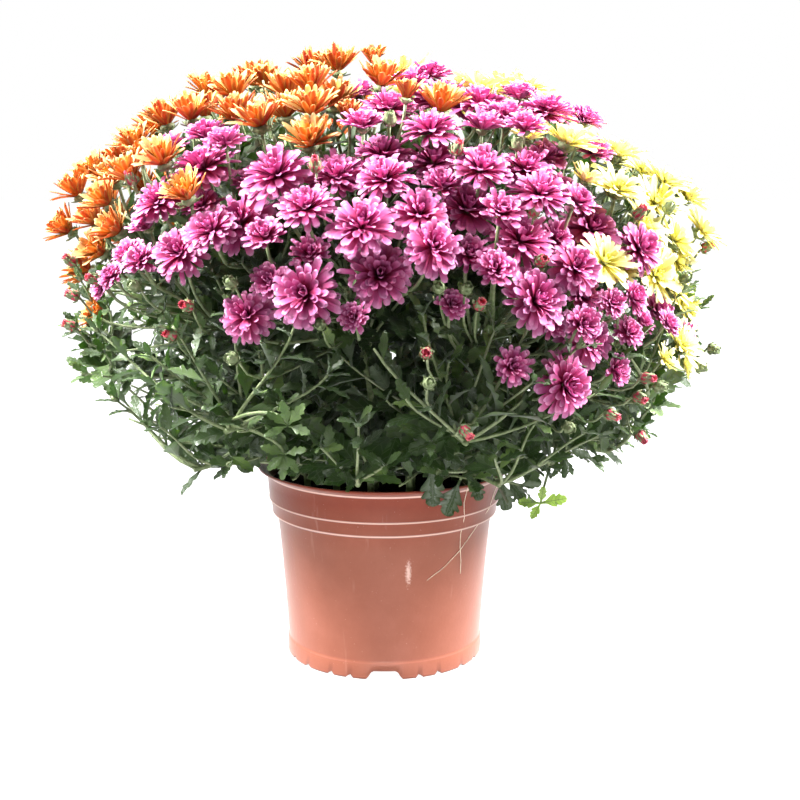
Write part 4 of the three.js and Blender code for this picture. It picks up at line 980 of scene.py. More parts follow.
def add_bud(skin, head, opening):
    """A round bud in its green scales; an opening one shows a tuft of furled petals."""
    dice = np.random.default_rng(head["k"])
    add_turned(skin, head, BUD_PROFILE, BUD_PETAL if opening else GREEN, BUD_TINT)
    for row, layer in enumerate(BUD_SCALES):
        foot = (BUD_SCALE_FOOT[0] + BUD_SCALE_STEP * row, BUD_SCALE_FOOT[1])
        add_petals(skin, head, layer, SCALE_DEPTH, SEPAL_WIDTHS, dice, foot, GREEN, BUD_STRAY)
    if opening:
        widths = PETAL_WIDTHS["orange"]
        add_petals(skin, head, BUD_TIP, BUD_TIP_DEPTH, widths, dice, BUD_TIP_FOOT, BUD_PETAL, BUD_STRAY)


def tint_parts(material):
    """The four values of a piece's tint. On petals and leaves the first says how far
    along the blade, the third differs from blade to blade, and the last tells its face."""
    tint = add_node(material, "ShaderNodeAttribute", settings={"attribute_name": "tint"})
    parts = add_node(material, "ShaderNodeSeparateColor", {"Color": tint.outputs["Color"]})
    return parts.outputs[0], parts.outputs[1], parts.outputs[2], tint.outputs["Alpha"]


def let_light_through(material, shader, share, colour):
    """Lets a share of the light through a thin blade, in its own colour."""
    through = add_node(material, "ShaderNodeBsdfTranslucent", {"Color": colour})
    both = add_node(material, "ShaderNodeMixShader", {0: share, 1: shader.outputs[0], 2: through.outputs[0]})
    link(material, both.outputs[0], material.node_tree.nodes["Material Output"].inputs["Surface"])


def petal_paint(name, outer, inner, back, glow, through_share, hue_stray):
    """A petal: outer layers paler, the heart deep, its back lighter, thin enough for
    light to come through. The dark heart and the dark foot of each petal are partly the
    petals' own colour and partly painted shade where the petals crowd."""
    material, shader = new_material(name, {"Roughness": 0.55, "Specular IOR Level": 0.08})
    along, depth, each, face = tint_parts(material)
    # Inner layers take the darker ramp: deeper colour with painted shade in the heart.
    front = mixed(material, depth, add_ramp(material, along, outer), add_ramp(material, along, inner))
    sided = mixed(material, ranged(material, face, *FACE_EDGE), (*back, 1), front)
    streak = noise(material, object_place(material), 800.0, 2.0)
    bright = ranged(material, each, 0.0, 1.0, *PETAL_BRIGHT)
    fine = ranged(material, streak, 0.0, 1.0, *STREAK_BRIGHT)
    hue = ranged(material, each, 0.0, 1.0, 0.5 - hue_stray, 0.5 + hue_stray)
    changes = {"Hue": hue, "Value": reckon(material, "MULTIPLY", bright, fine), "Color": sided}
    toned = add_node(material, "ShaderNodeHueSaturation", changes).outputs["Color"]
    link(material, toned, shader.inputs["Base Color"])
    add_bump(material, shader, streak, 0.15, 0.0003)
    let_light_through(material, shader, through_share, mixed(material, 0.5, toned, (*glow, 1)))
    return material


BUD_REDS = [(0.0, (0.30, 0.03, 0.02)), (0.5, (0.52, 0.045, 0.06)), (1.0, (0.80, 0.22, 0.30))]
bud_petals = petal_paint("bud_petals", BUD_REDS, BUD_REDS, (0.62, 0.12, 0.14), (0.95, 0.20, 0.25), 0.15, 0.01)
# Each ramp runs from a petal's foot to its tip; the dark foot is partly its own colour and partly painted
# shade between the petals.
petals = {
    "pink": petal_paint(
        "pink_petals",
        [(0.0, (0.44, 0.02, 0.09)), (0.35, (0.50, 0.05, 0.15)), (0.75, (0.62, 0.13, 0.33)),
         (1.0, (0.80, 0.38, 0.62))],
        [(0.0, (0.05, 0.0004, 0.004)), (0.45, (0.27, 0.010, 0.055)), (1.0, (0.70, 0.17, 0.42))],
        (0.66, 0.20, 0.44), (0.90, 0.26, 0.60), 0.27, 0.008),
    "orange": petal_paint(
        "orange_petals",
        [(0.0, (0.46, 0.13, 0.02)), (0.5, (0.61, 0.32, 0.09)), (1.0, (0.75, 0.51, 0.24))],
        [(0.0, (0.42, 0.24, 0.010)), (0.5, (0.62, 0.31, 0.025)), (1.0, (0.72, 0.36, 0.08))],
        (0.60, 0.12, 0.035), (0.9, 0.36, 0.07), 0.28, 0.018),
    "yellow": petal_paint(
        "yellow_petals",
        [(0.0, (0.72, 0.60, 0.06)), (0.4, (0.86, 0.79, 0.26)), (1.0, (0.92, 0.90, 0.58))],
        [(0.0, (0.45, 0.42, 0.02)), (0.5, (0.66, 0.62, 0.04)), (1.0, (0.86, 0.80, 0.22))],
        (0.90, 0.86, 0.52), (0.98, 0.93, 0.46), 0.38, 0.006),
}

STALK_TONES = [(0.3, (0.11, 0.155, 0.06)), (0.55, (0.19, 0.24, 0.11)), (0.85, (0.32, 0.37, 0.21))]
stalk_green, shader = new_material("stalk_green", {"Roughness": 0.5, "Specular IOR Level": 0.35})
each = tint_parts(stalk_green)[2]
mottle = noise(stalk_green, object_place(stalk_green), 300.0, 3.0)
tone = reckon(stalk_green, "MULTIPLY_ADD", each, 0.25, mottle)
link(stalk_green, add_ramp(stalk_green, tone, STALK_TONES), shader.inputs["Base Color"])
add_bump(stalk_green, shader, mottle, 0.3, 0.0004)

# Half outline of a lobed leaf as shares of its length: along the edge, sideways, and the
# place on the midrib that the edge point belongs to.
LARGE_LEAF_EDGE = np.array([
    (0.0, 0.022, 0.0), (0.16, 0.028, 0.15), (0.33, 0.09, 0.28), (0.49, 0.185, 0.40), (0.57, 0.21, 0.46),
    (0.62, 0.18, 0.52), (0.61, 0.12, 0.56), (0.74, 0.20, 0.65), (0.80, 0.185, 0.72), (0.79, 0.12, 0.77),
    (0.90, 0.125, 0.85), (0.97, 0.08, 0.93), (1.0, 0.015, 1.0)])
SMALL_LEAF_EDGE = np.array([
    (0.0, 0.03, 0.0), (0.2, 0.045, 0.18), (0.45, 0.165, 0.36), (0.57, 0.19, 0.47), (0.60, 0.115, 0.55),
    (0.75, 0.175, 0.67), (0.80, 0.115, 0.77), (0.93, 0.095, 0.9), (1.0, 0.015, 1.0)])
# Across a large leaf: sideways share, lift, and face: left edge, over the top to the right
# edge, and the rib below. A small leaf leaves the two quarter points out.
LARGE_LEAF_CROSS = np.array([
    (-1, 0, 0.5), (-0.5, 0.3, 1), (0, 0.5, 1), (0.5, 0.3, 1), (1, 0, 0.5), (0, -0.5, 0)])
SMALL_LEAF_CROSS = LARGE_LEAF_CROSS[[0, 2, 4, 5]]
LARGE_LEAF_FROM = 36
LEAF_FOLD = (0.1, 0.3)
LEAF_WIDTH = (0.8, 0.4)
WIDE_LEAF_WIDTH = 1.45
LEAF_WAVES = 0.03
LEAF_HOLLOW = 0.25
LEAF_STALK_HALF = 0.05
LEAF_THICK = 0.8
LEAF_BASE_THICKER = 0.9
LEAF_BASE = 0.2
# The darkest and the lightest place of each kind of leaf in the ramp of leaf colours. A
# hidden leaf deep inside the bush is kept dark as painted shade.
LEAF_TONES = {"grown": (0.3, 1.0), "hidden": (0.0, 0.25), "broad": (0.2, 0.4), "pale": (0.86, 0.93),
              "young": (1.05, 1.15)}
LEAF_COLOURS = [
    (0.1, (0.005, 0.011, 0.003)), (0.5, (0.024, 0.048, 0.013)), (0.8, (0.086, 0.142, 0.044)),
    (0.92, (0.18, 0.28, 0.07)), (0.98, (0.42, 0.64, 0.10))]
LEAF_PATCHES = 0.4
LEAF_TONE_SCALE = 0.75
SIDE_VEINS = 7.5
SIDE_VEIN_SLANT = -0.85
SIDE_VEIN_WIDE = 0.09
MIDRIB_WIDE = 0.014
VEIN_TONE = (0.10, 0.135, 0.065, 1)
LEAF_BACK_TONE = (0.13, 0.17, 0.10, 1)
LEAF_GLOW = (0.26, 0.50, 0.04, 1)


def add_leaf(skin, root, way, upper, length, droop, dice, finish=LEAF, kind="grown"):
    """A lobed leaf folded up along its midrib, with a waved blade; a hidden one has a
    simpler outline and is painted dark as the shade deep in the bush, a broad or young one is wide."""
    large = kind == "broad" or length > LARGE_LEAF_FROM and kind != "hidden"
    edge, cross = (LARGE_LEAF_EDGE, LARGE_LEAF_CROSS) if large else (SMALL_LEAF_EDGE, SMALL_LEAF_CROSS)
    side = unit(np.cross(way, upper))
    out = np.cross(side, way)
    along, wide, rib = (column[:, None] for column in edge.T)
    sideways, lift, face = cross.T
    count, corners = len(edge), len(cross)
    fold = some(dice, *LEAF_FOLD)
    width = WIDE_LEAF_WIDTH if kind in ("broad", "young") else some(dice, *LEAF_WIDTH)
    waves = LEAF_WAVES * dice.normal(0, 1, (count, 2))[:, (sideways > 0).astype(int)]
    hollow = LEAF_HOLLOW * wide * (abs(sideways) == 0.5)
    x = rib + (along - rib) * abs(sideways)
    y = sideways * wide * width
    z = fold * abs(y) - droop * x * x + (waves * abs(sideways) - hollow) * (wide > LEAF_STALK_HALF)
    z = z + lift * (LEAF_THICK + LEAF_BASE_THICKER * (rib < LEAF_BASE)) / length
    points = root + length * (x[..., None] * way + y[..., None] * side + z[..., None] * out)
    darkest, lightest = LEAF_TONES[kind]
    tint = np.zeros((count, corners, 4))
    tint[..., 0] = x
    tint[..., 1] = 0.5 + sideways * wide
    tint[..., 2] = darkest + (lightest - darkest) * dice.random()
    tint[..., 3] = face
    faces = [strip_faces(count, corners), end_caps(count, corners)]
    skin.add(points, faces, finish, tint.reshape(-1, 4), abs(sideways) == 1)


leaf_green, shader = new_material("leaf_green", {
    "Roughness": 0.36, "Specular IOR Level": 0.5, "Sheen Weight": 0.17})
along, across, each, face = tint_parts(leaf_green)
aside = reckon(leaf_green, "ABSOLUTE", reckon(leaf_green, "SUBTRACT", across, 0.5))
slant = reckon(leaf_green, "MULTIPLY_ADD", aside, SIDE_VEIN_SLANT, along)
saw = reckon(leaf_green, "PINGPONG", reckon(leaf_green, "MULTIPLY", slant, SIDE_VEINS), 0.5)
side_vein = ranged(leaf_green, saw, 0.0, SIDE_VEIN_WIDE, 1.0, 0.0)
midrib = ranged(leaf_green, aside, 0.0, MIDRIB_WIDE, 1.0, 0.0)
vein = reckon(leaf_green, "MAXIMUM", side_vein, midrib)
patch = noise(leaf_green, object_place(leaf_green), 60.0, 3.0)
patched = reckon(leaf_green, "MULTIPLY_ADD", patch, LEAF_PATCHES, each)
tone = reckon(leaf_green, "MULTIPLY", patched, LEAF_TONE_SCALE)
veined = mixed(leaf_green, vein, add_ramp(leaf_green, tone, LEAF_COLOURS), VEIN_TONE)
sided = mixed(leaf_green, ranged(leaf_green, face, *FACE_EDGE), LEAF_BACK_TONE, veined)
link(leaf_green, sided, shader.inputs["Base Color"])
add_bump(leaf_green, shader, vein, 0.4, 0.0005, True)
let_light_through(leaf_green, shader, 0.26, LEAF_GLOW)

# The higher a flower sits, the more it turns up to the light and the larger it is.
FACE_UP_MORE = 0.75
FACE_UP_LEAST = 0.15
FACE_UP_FROM_Z = 290
FACE_UP_FULL_Z = 390
SUNK_BY = 5.0
BACK_SUNK_BY = 4.0
BLOOM_SCALE = {"pink": 0.95, "orange": 1.0, "yellow": 1.08}
SMALL_SCALE = 0.88
TOP_WIDER = 0.16
BLOOM_FOOT = 0.38
SPRAY_STEM_RADII = (1.9, 1.8, 1.6)
STEM_SIDES = 10
STALK_SIDES = 6
STALK_POINTS = 9
BUD_STALK_R = 0.75
BLOOM_STALK_R = (0.85, 0.014)
STALK_TAPER = 1.15
STALK_SEED = 77
# A stalk's two bends as shares of its reach, and the ways that it starts and ends.
STALK_BENDS = (0.4, 0.36)
STALK_START_LEAN = 0.6
STALK_END_FACE = 0.5
STALK_END_RISE = 0.8
BRACT_SHARES = (0.25, 0.45, 0.65)
BRACT_CHANCE = 0.75
BRACT_LENGTH = (14, 12)
BRACT_TAPER = (1.2, 0.6)
BRACT_WAY = (0.7, 0.7, 0)
BRACT_FLAT = 0.4
BRACT_DROOP = 0.25
BARE_STALK = 26
CLOSED_BUDS = 0.4


def settle_head(head, colour):
    """Turns a head up toward the light, sets it in the bush and gives it its size."""
    height = (head["at"][2] - FACE_UP_FROM_Z) / (FACE_UP_FULL_Z - FACE_UP_FROM_Z)
    head["face"] = unit(head["axis"] + FACE_UP_MORE * min(max(height, FACE_UP_LEAST), 1) * UP)
    head["at"] = head["at"] - SUNK_BY * dome_outward(head["at"])
    if BACK_BLOOMS_FROM <= head["k"] < BACK_BLOOMS_FROM + SPIRAL_PLACES:
        head["at"] = head["at"] - BACK_SUNK_BY * UP
    elif not head["bud"]:
        head["radius"] *= SMALL_SCALE if head["radius"] < SMALL_BLOOM_R else BLOOM_SCALE[colour]
        head["radius"] *= 1 + TOP_WIDER * min(max(height, 0), 1)


def stalk_path(head, lean):
    """A stalk's curve from its joint on the stem up into the foot of its head."""
    foot = head["at"] - head["face"] * head["radius"] * (1.0 if head["bud"] else BLOOM_FOOT)
    reach = np.linalg.norm(foot - head["start"])
    first = STALK_BENDS[0] * reach * unit(STALK_START_LEAN * lean + unit(foot - head["start"]))
    last = STALK_BENDS[1] * reach * unit(STALK_END_FACE * head["face"] + STALK_END_RISE * UP)
    return reach, bezier([head["start"], head["start"] + first, foot - last, foot], STALK_POINTS)


def leaf_way(side, along, shares):
    """Where a leaf points, as shares out from its stalk, along the stalk and up."""
    return unit(side * shares[0] + along * shares[1] + shares[2] * UP)


def add_bract(skin, path, share, dice):
    """A small leaf at a share of a stalk's length."""
    step = int(share * (STALK_POINTS - 1))
    along = unit(path[step + 1] - path[step])
    side, _ = sides_of(along, dice.random() * 2 * math.pi)
    length = some(dice, *BRACT_LENGTH) * (BRACT_TAPER[0] - BRACT_TAPER[1] * share)
    add_leaf(skin, path[step], leaf_way(side, along, BRACT_WAY), along + BRACT_FLAT * UP, length,
             BRACT_DROOP * dice.random(), dice)


def make_spray(spray):
    """Stem, stalks with a few small leaves, flowers and buds of one spray."""
    skin = Skin()
    stem_path = [spray["foot"], (spray["foot"] + spray["fork"]) / 2, spray["fork"]]
    add_tube(skin, stem_path, SPRAY_STEM_RADII, STEM_SIDES)
    for head in spray["heads"]:
        settle_head(head, spray["colour"])
        reach, path = stalk_path(head, spray["lean"])
        thick = BUD_STALK_R if head["bud"] else BLOOM_STALK_R[0] + BLOOM_STALK_R[1] * head["radius"]
        dice = np.random.default_rng(head["k"] + STALK_SEED)
        radii = np.linspace(thick * STALK_TAPER, thick, STALK_POINTS)
        add_tube(skin, path, radii, STALK_SIDES, (0, 0, dice.random(), 0))
        if head["bud"]:
            add_bud(skin, head, dice.random() > CLOSED_BUDS)
        else:
            add_bloom(skin, head, spray["colour"])
        for share in BRACT_SHARES:
            if reach > BARE_STALK and dice.random() < BRACT_CHANCE:
                add_bract(skin, path, share, dice)
    piece = skin.make(spray["name"] + "_fine", [stalk_green, petals[spray["colour"]], leaf_green, bud_petals])
    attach(piece, "root")
    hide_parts(spray["name"])


for spray in sprays:
    make_spray(spray)

# ---------------------------------------------------------------- leafy stems and shoots
# Every spray stands on a green stem that rises out of the soil and leans outward; shorter
# leafy shoots without flowers hang over the lip all round. Side branches fill the bush.
# The shoots: bearing of the tip in degrees, how far out it is, and its height.
LOW_SHOOTS = [
    (-75, 196, 200), (-30, 206, 208), (10, 210, 212), (50, 204, 206), (95, 204, 208), (140, 204, 210),
    (185, 212, 212), (-120, 200, 204), (-98, 128, 158), (-55, 136, 154), (-12, 168, 160),
    (32, 160, 158), (72, 158, 158), (118, 160, 160), (162, 166, 158), (-145, 160, 160),
]
SHOOTS_FROM = 50
SHOOT_DROOP = 0.1
SHOOT_JOINTS = 4
LOWEST_LEAF_Z = 146
# Joints on a stem with leaves, how it twists, and its curve as shares of its reach.
STEM_JOINTS = 2
STEM_LEAVES_FROM_Z = 158
STEM_TWIST = 0.5
STEM_RISE = 0.42
STEM_RUN_OUT = 0.34
STEM_RINGS = 16
BARE_RINGS = (0.3, 0.65)
WAY_STEP = 0.002
STEM_UNDER_SPRAY = 0.3
ROOT_END_Z = 122.3
ROOT_END_WITHIN = 0.1
ROOT_ABOVE_SOIL = 3.0
# The leaves that the solid has too: three at a joint, spaced down from the stem's tip.
LEAF_LENGTH = 54
LEAF_SPACING = 24
LEAF_FIRST = 7
LEAVES_AT_JOINT = 3
LEAF_SIZES = (1, 0.86, 0.72)
LEAF_STRAY = (0.85, 0.3)
LEAF_LEAN = (0.3, 0.4)
LEAF_OUT = 0.86
LEAF_FLAT = 0.4
LEAF_TURN_STRAY = 0.8
LEAF_DROOP = (0.1, 0.25)
CURVE_STEPS = 200
SOLID_LEAF_NEAR = 1.0


def node_points(name):
    """The corner points of a solid, in millimetres."""
    points = np.empty(len(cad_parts[name].data.vertices) * 3)
    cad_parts[name].data.vertices.foreach_get("co", points)
    return points.reshape(-1, 3) / MM


def lay_stem(stem):
    """The stem's curve from its foot in the soil, with the places of its leaf joints."""
    points = node_points(stem["name"])
    inside = np.hypot(points[:, 0], points[:, 1]) < SOIL_EDGE_R
    root = points[inside & (abs(points[:, 2] - ROOT_END_Z) < ROOT_END_WITHIN)]
    foot = np.array([*root[:, :2].mean(0), SOIL_TOP_Z + ROOT_ABOVE_SOIL])
    tip, lean = stem["tip"], stem["lean"]
    reach = np.linalg.norm(tip - foot)
    rise, run_out = UP * STEM_RISE * reach, lean * STEM_RUN_OUT * reach
    curve = bezier([foot, foot + rise, tip - run_out, tip], CURVE_STEPS + 1)
    gone = np.concatenate([[0], np.cumsum(np.linalg.norm(np.diff(curve, axis=0), axis=1))])
    length = gone[-1]

    def at(share):
        return np.array([np.interp(share * length, gone, curve[:, i]) for i in range(3)])

    def way(share):
        return unit(at(min(share + WAY_STEP, 1)) - at(max(share - WAY_STEP, 0)))

    joints = [1 - (LEAF_FIRST + LEAF_SPACING * i) / length for i in range(stem["joints"])]
    joints = sorted(s for s in joints if s > 0 and at(s)[2] > stem["leaves_from"])
    first = joints[0] if joints else 1
    side = ACROSS
    rings = []
    bare = [share * first for share in BARE_RINGS]
    for i, share in enumerate([0, 0, *bare, *joints, 1]):
        along = UP if i < 2 else way(share)
        side = unit(side - along * np.dot(side, along))
        if share > 0:
            side = spun(side, along, STEM_TWIST)
        rings.append({"p": at(share), "along": along, "side": side, "share": share,
                      "k": stem["k"] * STEM_RINGS + i})
    stem.update(curve=curve, length=length, at=at, way=way, points=points,
                rings=[ring for ring in rings if ring["share"] in joints])


def solid_leaves(stem):
    """The leaves that the solid stem bears: those whose tip is a corner of it."""
    for ring in stem["rings"]:
        along = ring["along"]
        upper = along + LEAF_FLAT * UP
        for face in range(LEAVES_AT_JOINT):
            k = ring["k"] * LEAVES_AT_JOINT + face
            turn = (2 * face + 1) * math.pi / LEAVES_AT_JOINT + LEAF_TURN_STRAY * (draw(k, 20) - 0.5)
            lean = LEAF_LEAN[0] + LEAF_LEAN[1] * draw(k, 23)
            way = unit(spun(ring["side"], along, turn) * LEAF_OUT + along * lean)
            out = np.cross(unit(np.cross(way, upper)), way)
            droop = LEAF_DROOP[0] + LEAF_DROOP[1] * draw(k, 22)
            for size in LEAF_SIZES:
                length = LEAF_LENGTH * size * (LEAF_STRAY[0] + LEAF_STRAY[1] * draw(k, 21))
                tip = ring["p"] + length * (way - droop * out)
                if np.min(np.linalg.norm(stem["points"] - tip, axis=1)) < SOLID_LEAF_NEAR:
                    yield ring["p"], way, upper, length, droop
                    break


stems = []
for i, spray in enumerate(sprays):
    stems.append({"name": f"leafy_stem_{i + 1:02d}", "k": i, "lean": spray["lean"],
                  "tip": spray["foot"] - spray["lean"] * STEM_UNDER_SPRAY,
                  "joints": STEM_JOINTS, "leaves_from": STEM_LEAVES_FROM_Z})
for i, (bearing, reach, height) in enumerate(LOW_SHOOTS):
    angle = math.radians(bearing)
    stems.append({"name": f"leafy_shoot_{i + 1:02d}", "k": SHOOTS_FROM + i,
                  "lean": unit(np.array([math.cos(angle), math.sin(angle), -SHOOT_DROOP])),
                  "tip": np.array([math.cos(angle) * reach, math.sin(angle) * reach, height]),
                  "joints": SHOOT_JOINTS, "leaves_from": LOWEST_LEAF_Z})
for stem in stems:
    lay_stem(stem)
    stem.update(branches=[], overhanging=[])

# Side branches: their tips are spread evenly over three skins of the bush, one below the
# flowers down to the lip and two inside the dome. Each starts from the stem that suits it.
# Of each skin: how many tips, the lowest and highest, least and most level in the dome,
# and the length of their leaves; those over the given length are hidden deep inside and kept
# dark as painted shade of the bush's interior.
BRANCH_SKINS = (
    (160, 152, 296, 0.86, 0.97, 33), (90, 300, 425, 0.76, 0.87, 46), (125, 156, 390, 0.5, 0.8, 56))
SHADED_LEAF_FROM = 40
BRANCH_REACH = 78
BRANCH_RISE = 38
BRANCH_RISE_COST = 0.8
TURNED_BACK_COST = 60
SKIN_LEAST_ACROSS = 0.02
OUTLINE = 0.99
# Tips of sprigs at the right of the lip: sideways and height on the flat through the
# pot's axis that faces the eye, and depth.
SPRIGS = ((102, 126, -66), (120, 142, -62), (136, 146, -58), (154, 147, -50), (150, 160, -40),
          (172, 163, -40), (188, 172, -20))
SPRIG_REACH = 50
SPRIG_LEAF = 32
SPRIG_OUTLINE = 1.4
# Leaves that hang down at the lip, in the same places: their kind, the end of their twig
# and the tips of its leaves.
OVERHANGING = [
    ("broad", (57, 130, -93), [(46, 102, -97)]), ("broad", (35, 141, -92), [(37, 109, -97)]),
    ("broad", (66, 134, -80), [(72, 114, -86)]), ("broad", (87, 132, -60), [(93, 106, -62)]),
    ("broad", (92, 132, -55), [(106, 114, -58)]), ("broad", (100, 138, -50), [(118, 126, -52)]),
    ("young", (118, 112, -60), [(101, 113, -62), (120, 125, -60), (138, 116, -62), (111, 100, -64)]),
    ("broad", (-92, 172, -74), [(-107, 136, -84), (-94, 144, -82)]),
    ("broad", (-114, 174, -74), [(-142, 149, -80), (-128, 144, -80)]),
    ("pale", (-72, 172, -214), [
        (-88, 182, -220), (-60, 188, -220), (-90, 164, -222), (-56, 166, -222), (-76, 190, -222)]),
    ("pale", (-75, 150, -184), [
        (-92, 156, -192), (-59, 154, -192), (-88, 138, -190), (-65, 136, -190), (-77, 130, -190)]),
]
START_STEPS = slice(10, None, 6)
starts = np.concatenate([stem["curve"][START_STEPS] for stem in stems])
start_ways = np.concatenate([np.gradient(stem["curve"], axis=0)[START_STEPS] for stem in stems])
start_stems = np.concatenate([[i] * len(stem["curve"][START_STEPS]) for i, stem in enumerate(stems)])


def skin_tip(i, number, lowest, highest, least_level, most_level):
    """Place number i of a spiral of tips on one skin of the bush."""
    turn = i * GOLDEN_ANGLE
    share = (i + 0.5) / number
    z = lowest + (highest - lowest) * share
    height, power = dome_half(z)
    across = max(1 - (abs(z - DOME_Z) / height) ** power, SKIN_LEAST_ACROSS) ** (1 / power)
    level = least_level + (most_level - least_level) * draw(i, 50)
    x = math.cos(turn) * DOME_ACROSS * across * level
    y = math.sin(turn) * DOME_DEEP * across * level
    return np.array([x, y, z])


def start_branch(cost, tip, leaf_length, outline):
    """A numbered side branch to a tip, from the place on a stem that costs least."""
    number = sum(len(stem["branches"]) for stem in stems)
    best = int(np.argmin(cost))
    branch = (starts[best], unit(start_ways[best]), tip, leaf_length, outline, number)
    stems[start_stems[best]]["branches"].append(branch)


for *skin_form, leaf_length in BRANCH_SKINS:
    for i in range(skin_form[0]):
        tip = skin_tip(i, *skin_form)
        gaps = tip - starts
        far = np.linalg.norm(gaps, axis=1)
        climb = np.degrees(np.arcsin(gaps[:, 2] / far))
        turned_back = np.einsum("ij,ij->i", gaps, start_ways) < 0
        cost = (abs(far - BRANCH_REACH) + BRANCH_RISE_COST * abs(climb - BRANCH_RISE)
                + TURNED_BACK_COST * turned_back)
        start_branch(cost, tip, leaf_length, OUTLINE)
for place in SPRIGS:
    tip = along_sight(place[:2], place[2])
    start_branch(abs(np.linalg.norm(starts - tip, axis=1) - SPRIG_REACH), tip, SPRIG_LEAF, SPRIG_OUTLINE)
for kind, root_place, tip_places in OVERHANGING:
    root = along_sight(root_place[:2], root_place[2])
    nearest = int(np.argmin(np.linalg.norm(starts - root, axis=1)))
    tips = [along_sight(tip_place[:2], tip_place[2]) for tip_place in tip_places]
    stems[start_stems[nearest]]["overhanging"].append((kind, starts[nearest], root, tips))

# Where leaves keep clear: over the lip at the front left, among the flowers, and below a
# hem that rises to the left.
CLEAR_LIP = (-95, 28)
CLEAR_LIP_BEFORE_Y = -60
CLEAR_LIP_BELOW_Z = 162
UNDER_BLOOMS_Z = 310
UNDER_BLOOMS = 0.9
LEFT_HEM = (-98, 163)
LEFT_HEM_SLOPE = 0.5
# A branch's rod, its two bends, and the ways that it leaves the stem and ends.
BRANCH_SIDES = 5
BRANCH_POINTS = 8
BRANCH_RADII = (1.35, 0.75)
BRANCH_BEND = 0.35
BRANCH_START_ALONG = 0.6
BRANCH_END_OUT = 0.5
BRANCH_END_RISE = 0.5
BRANCH_SEED = 900
# Its leaves: the first after a bare stretch, then step by step, shorter toward its tip.
BRANCH_BARE = 9.0
LEAF_STEP = 9.4
STEP_SHARE = (0.75, 0.5)
BRANCH_LEAF_SHARE = (0.75, 0.4)
BRANCH_LEAF_TAPER = 0.45
BRANCH_TURN_STRAY = 0.25
BRANCH_LEAF_WAY = (0.8, 0.65, 0.15)
BRANCH_LEAF_FLAT = 0.7
BRANCH_LEAF_DROOP = 0.3
# At its tip: young leaves, and on some a green bud, as far as there is room.
TIP_LEAVES = 3
TIP_LEAF_LENGTH = (12, 6)
TIP_LEAF_OUT = 0.55
TIP_LEAF_DROOP = 0.1
TIP_ROOM = 12
TIP_BUD_CHANCE = 0.3
TIP_BUD_R = 2.4
TIP_BUD_AHEAD = 2.2
TIP_BUD_TINT = (0.5, 0.5, 0.5, 1)
TIP_BUD_SCALES = (7, 74, 34, 2.1, 0.34, 0.4)
# The stem: its rod, and leaves in a spiral down from its tip. A leaf of the solid that
# would stick out is tucked in: smaller and turned up.
STEM_RADII = (2.7, 1.9)
STEM_POINT_STEP = 8
STEM_SEED = 500
ROOT_DEPTH = 14
STEM_LEAF_LENGTH = (26, 18)
STEM_LEAF_STEP = (7, 4)
STEM_LEAF_FIRST = 4
STEM_TURN_STRAY = 0.2
STEM_LEAF_WAY = (0.8, 0.5, 0.1)
STEM_LEAF_FLAT = 0.5
SOLID_LEAF_SIZE = 0.88
SOLID_LEAF_DROOP = 0.6
TUCKED_LEAF_SIZE = 0.45
TUCKED_RISE = 0.6
TUCKED_DROOP = 0.3
# A twig over the lip: its rod, its two bends as shares of its reach, and its leaves.
TWIG_RADII = (1.3, 0.8)
TWIG_BENDS = (0.3, 0.25)
TWIG_LEAF_RISE = 0.3
TWIG_LEAF_DROOP = 0.08
# What a stem's materials are called by in its faces; the first is its own green.
STEM_LEAF = 1


def inside_outline(at, outline=OUTLINE):
    """Whether a leaf tip stays inside the dome and clear of the places above."""
    x, y, z = at
    over_lip = y < CLEAR_LIP_BEFORE_Y and z < CLEAR_LIP_BELOW_Z and CLEAR_LIP[0] < x < CLEAR_LIP[1]
    level = dome_level(x, y, z)
    under_blooms = z < UNDER_BLOOMS_Z or level < UNDER_BLOOMS
    below_hem = x < LEFT_HEM[0] and z < LEFT_HEM[1] + LEFT_HEM_SLOPE * (LEFT_HEM[0] - x)
    return level < outline and under_blooms and not over_lip and not below_hem


def add_branch_leaves(skin, path, reach, leaf_length, outline, dice):
    """Leaves in a spiral along a side branch, smaller toward its tip."""
    # Leaves of the deep skin are hidden ones: painted dark as the shade inside the bush.
    kind = "hidden" if leaf_length > SHADED_LEAF_FROM else "grown"
    turn = 2 * math.pi * dice.random()
    gone = BRANCH_BARE
    while gone < reach:
        share = gone / reach
        place = share * (BRANCH_POINTS - 1)
        step = min(int(place), BRANCH_POINTS - 2)
        root = path[step] + (path[step + 1] - path[step]) * (place - step)
        along = unit(path[step + 1] - path[step])
        turn += GOLDEN_ANGLE + dice.normal(0, BRANCH_TURN_STRAY)
        side, _ = sides_of(along, turn)
        way = leaf_way(side, along, BRANCH_LEAF_WAY)
        length = leaf_length * (1 - BRANCH_LEAF_TAPER * share) * some(dice, *BRANCH_LEAF_SHARE)
        if inside_outline(root + way * length, outline):
            droop = BRANCH_LEAF_DROOP * dice.random()
            add_leaf(skin, root, way, along + BRANCH_LEAF_FLAT * UP, length, droop, dice, STEM_LEAF, kind)
        gone += LEAF_STEP * some(dice, *STEP_SHARE)


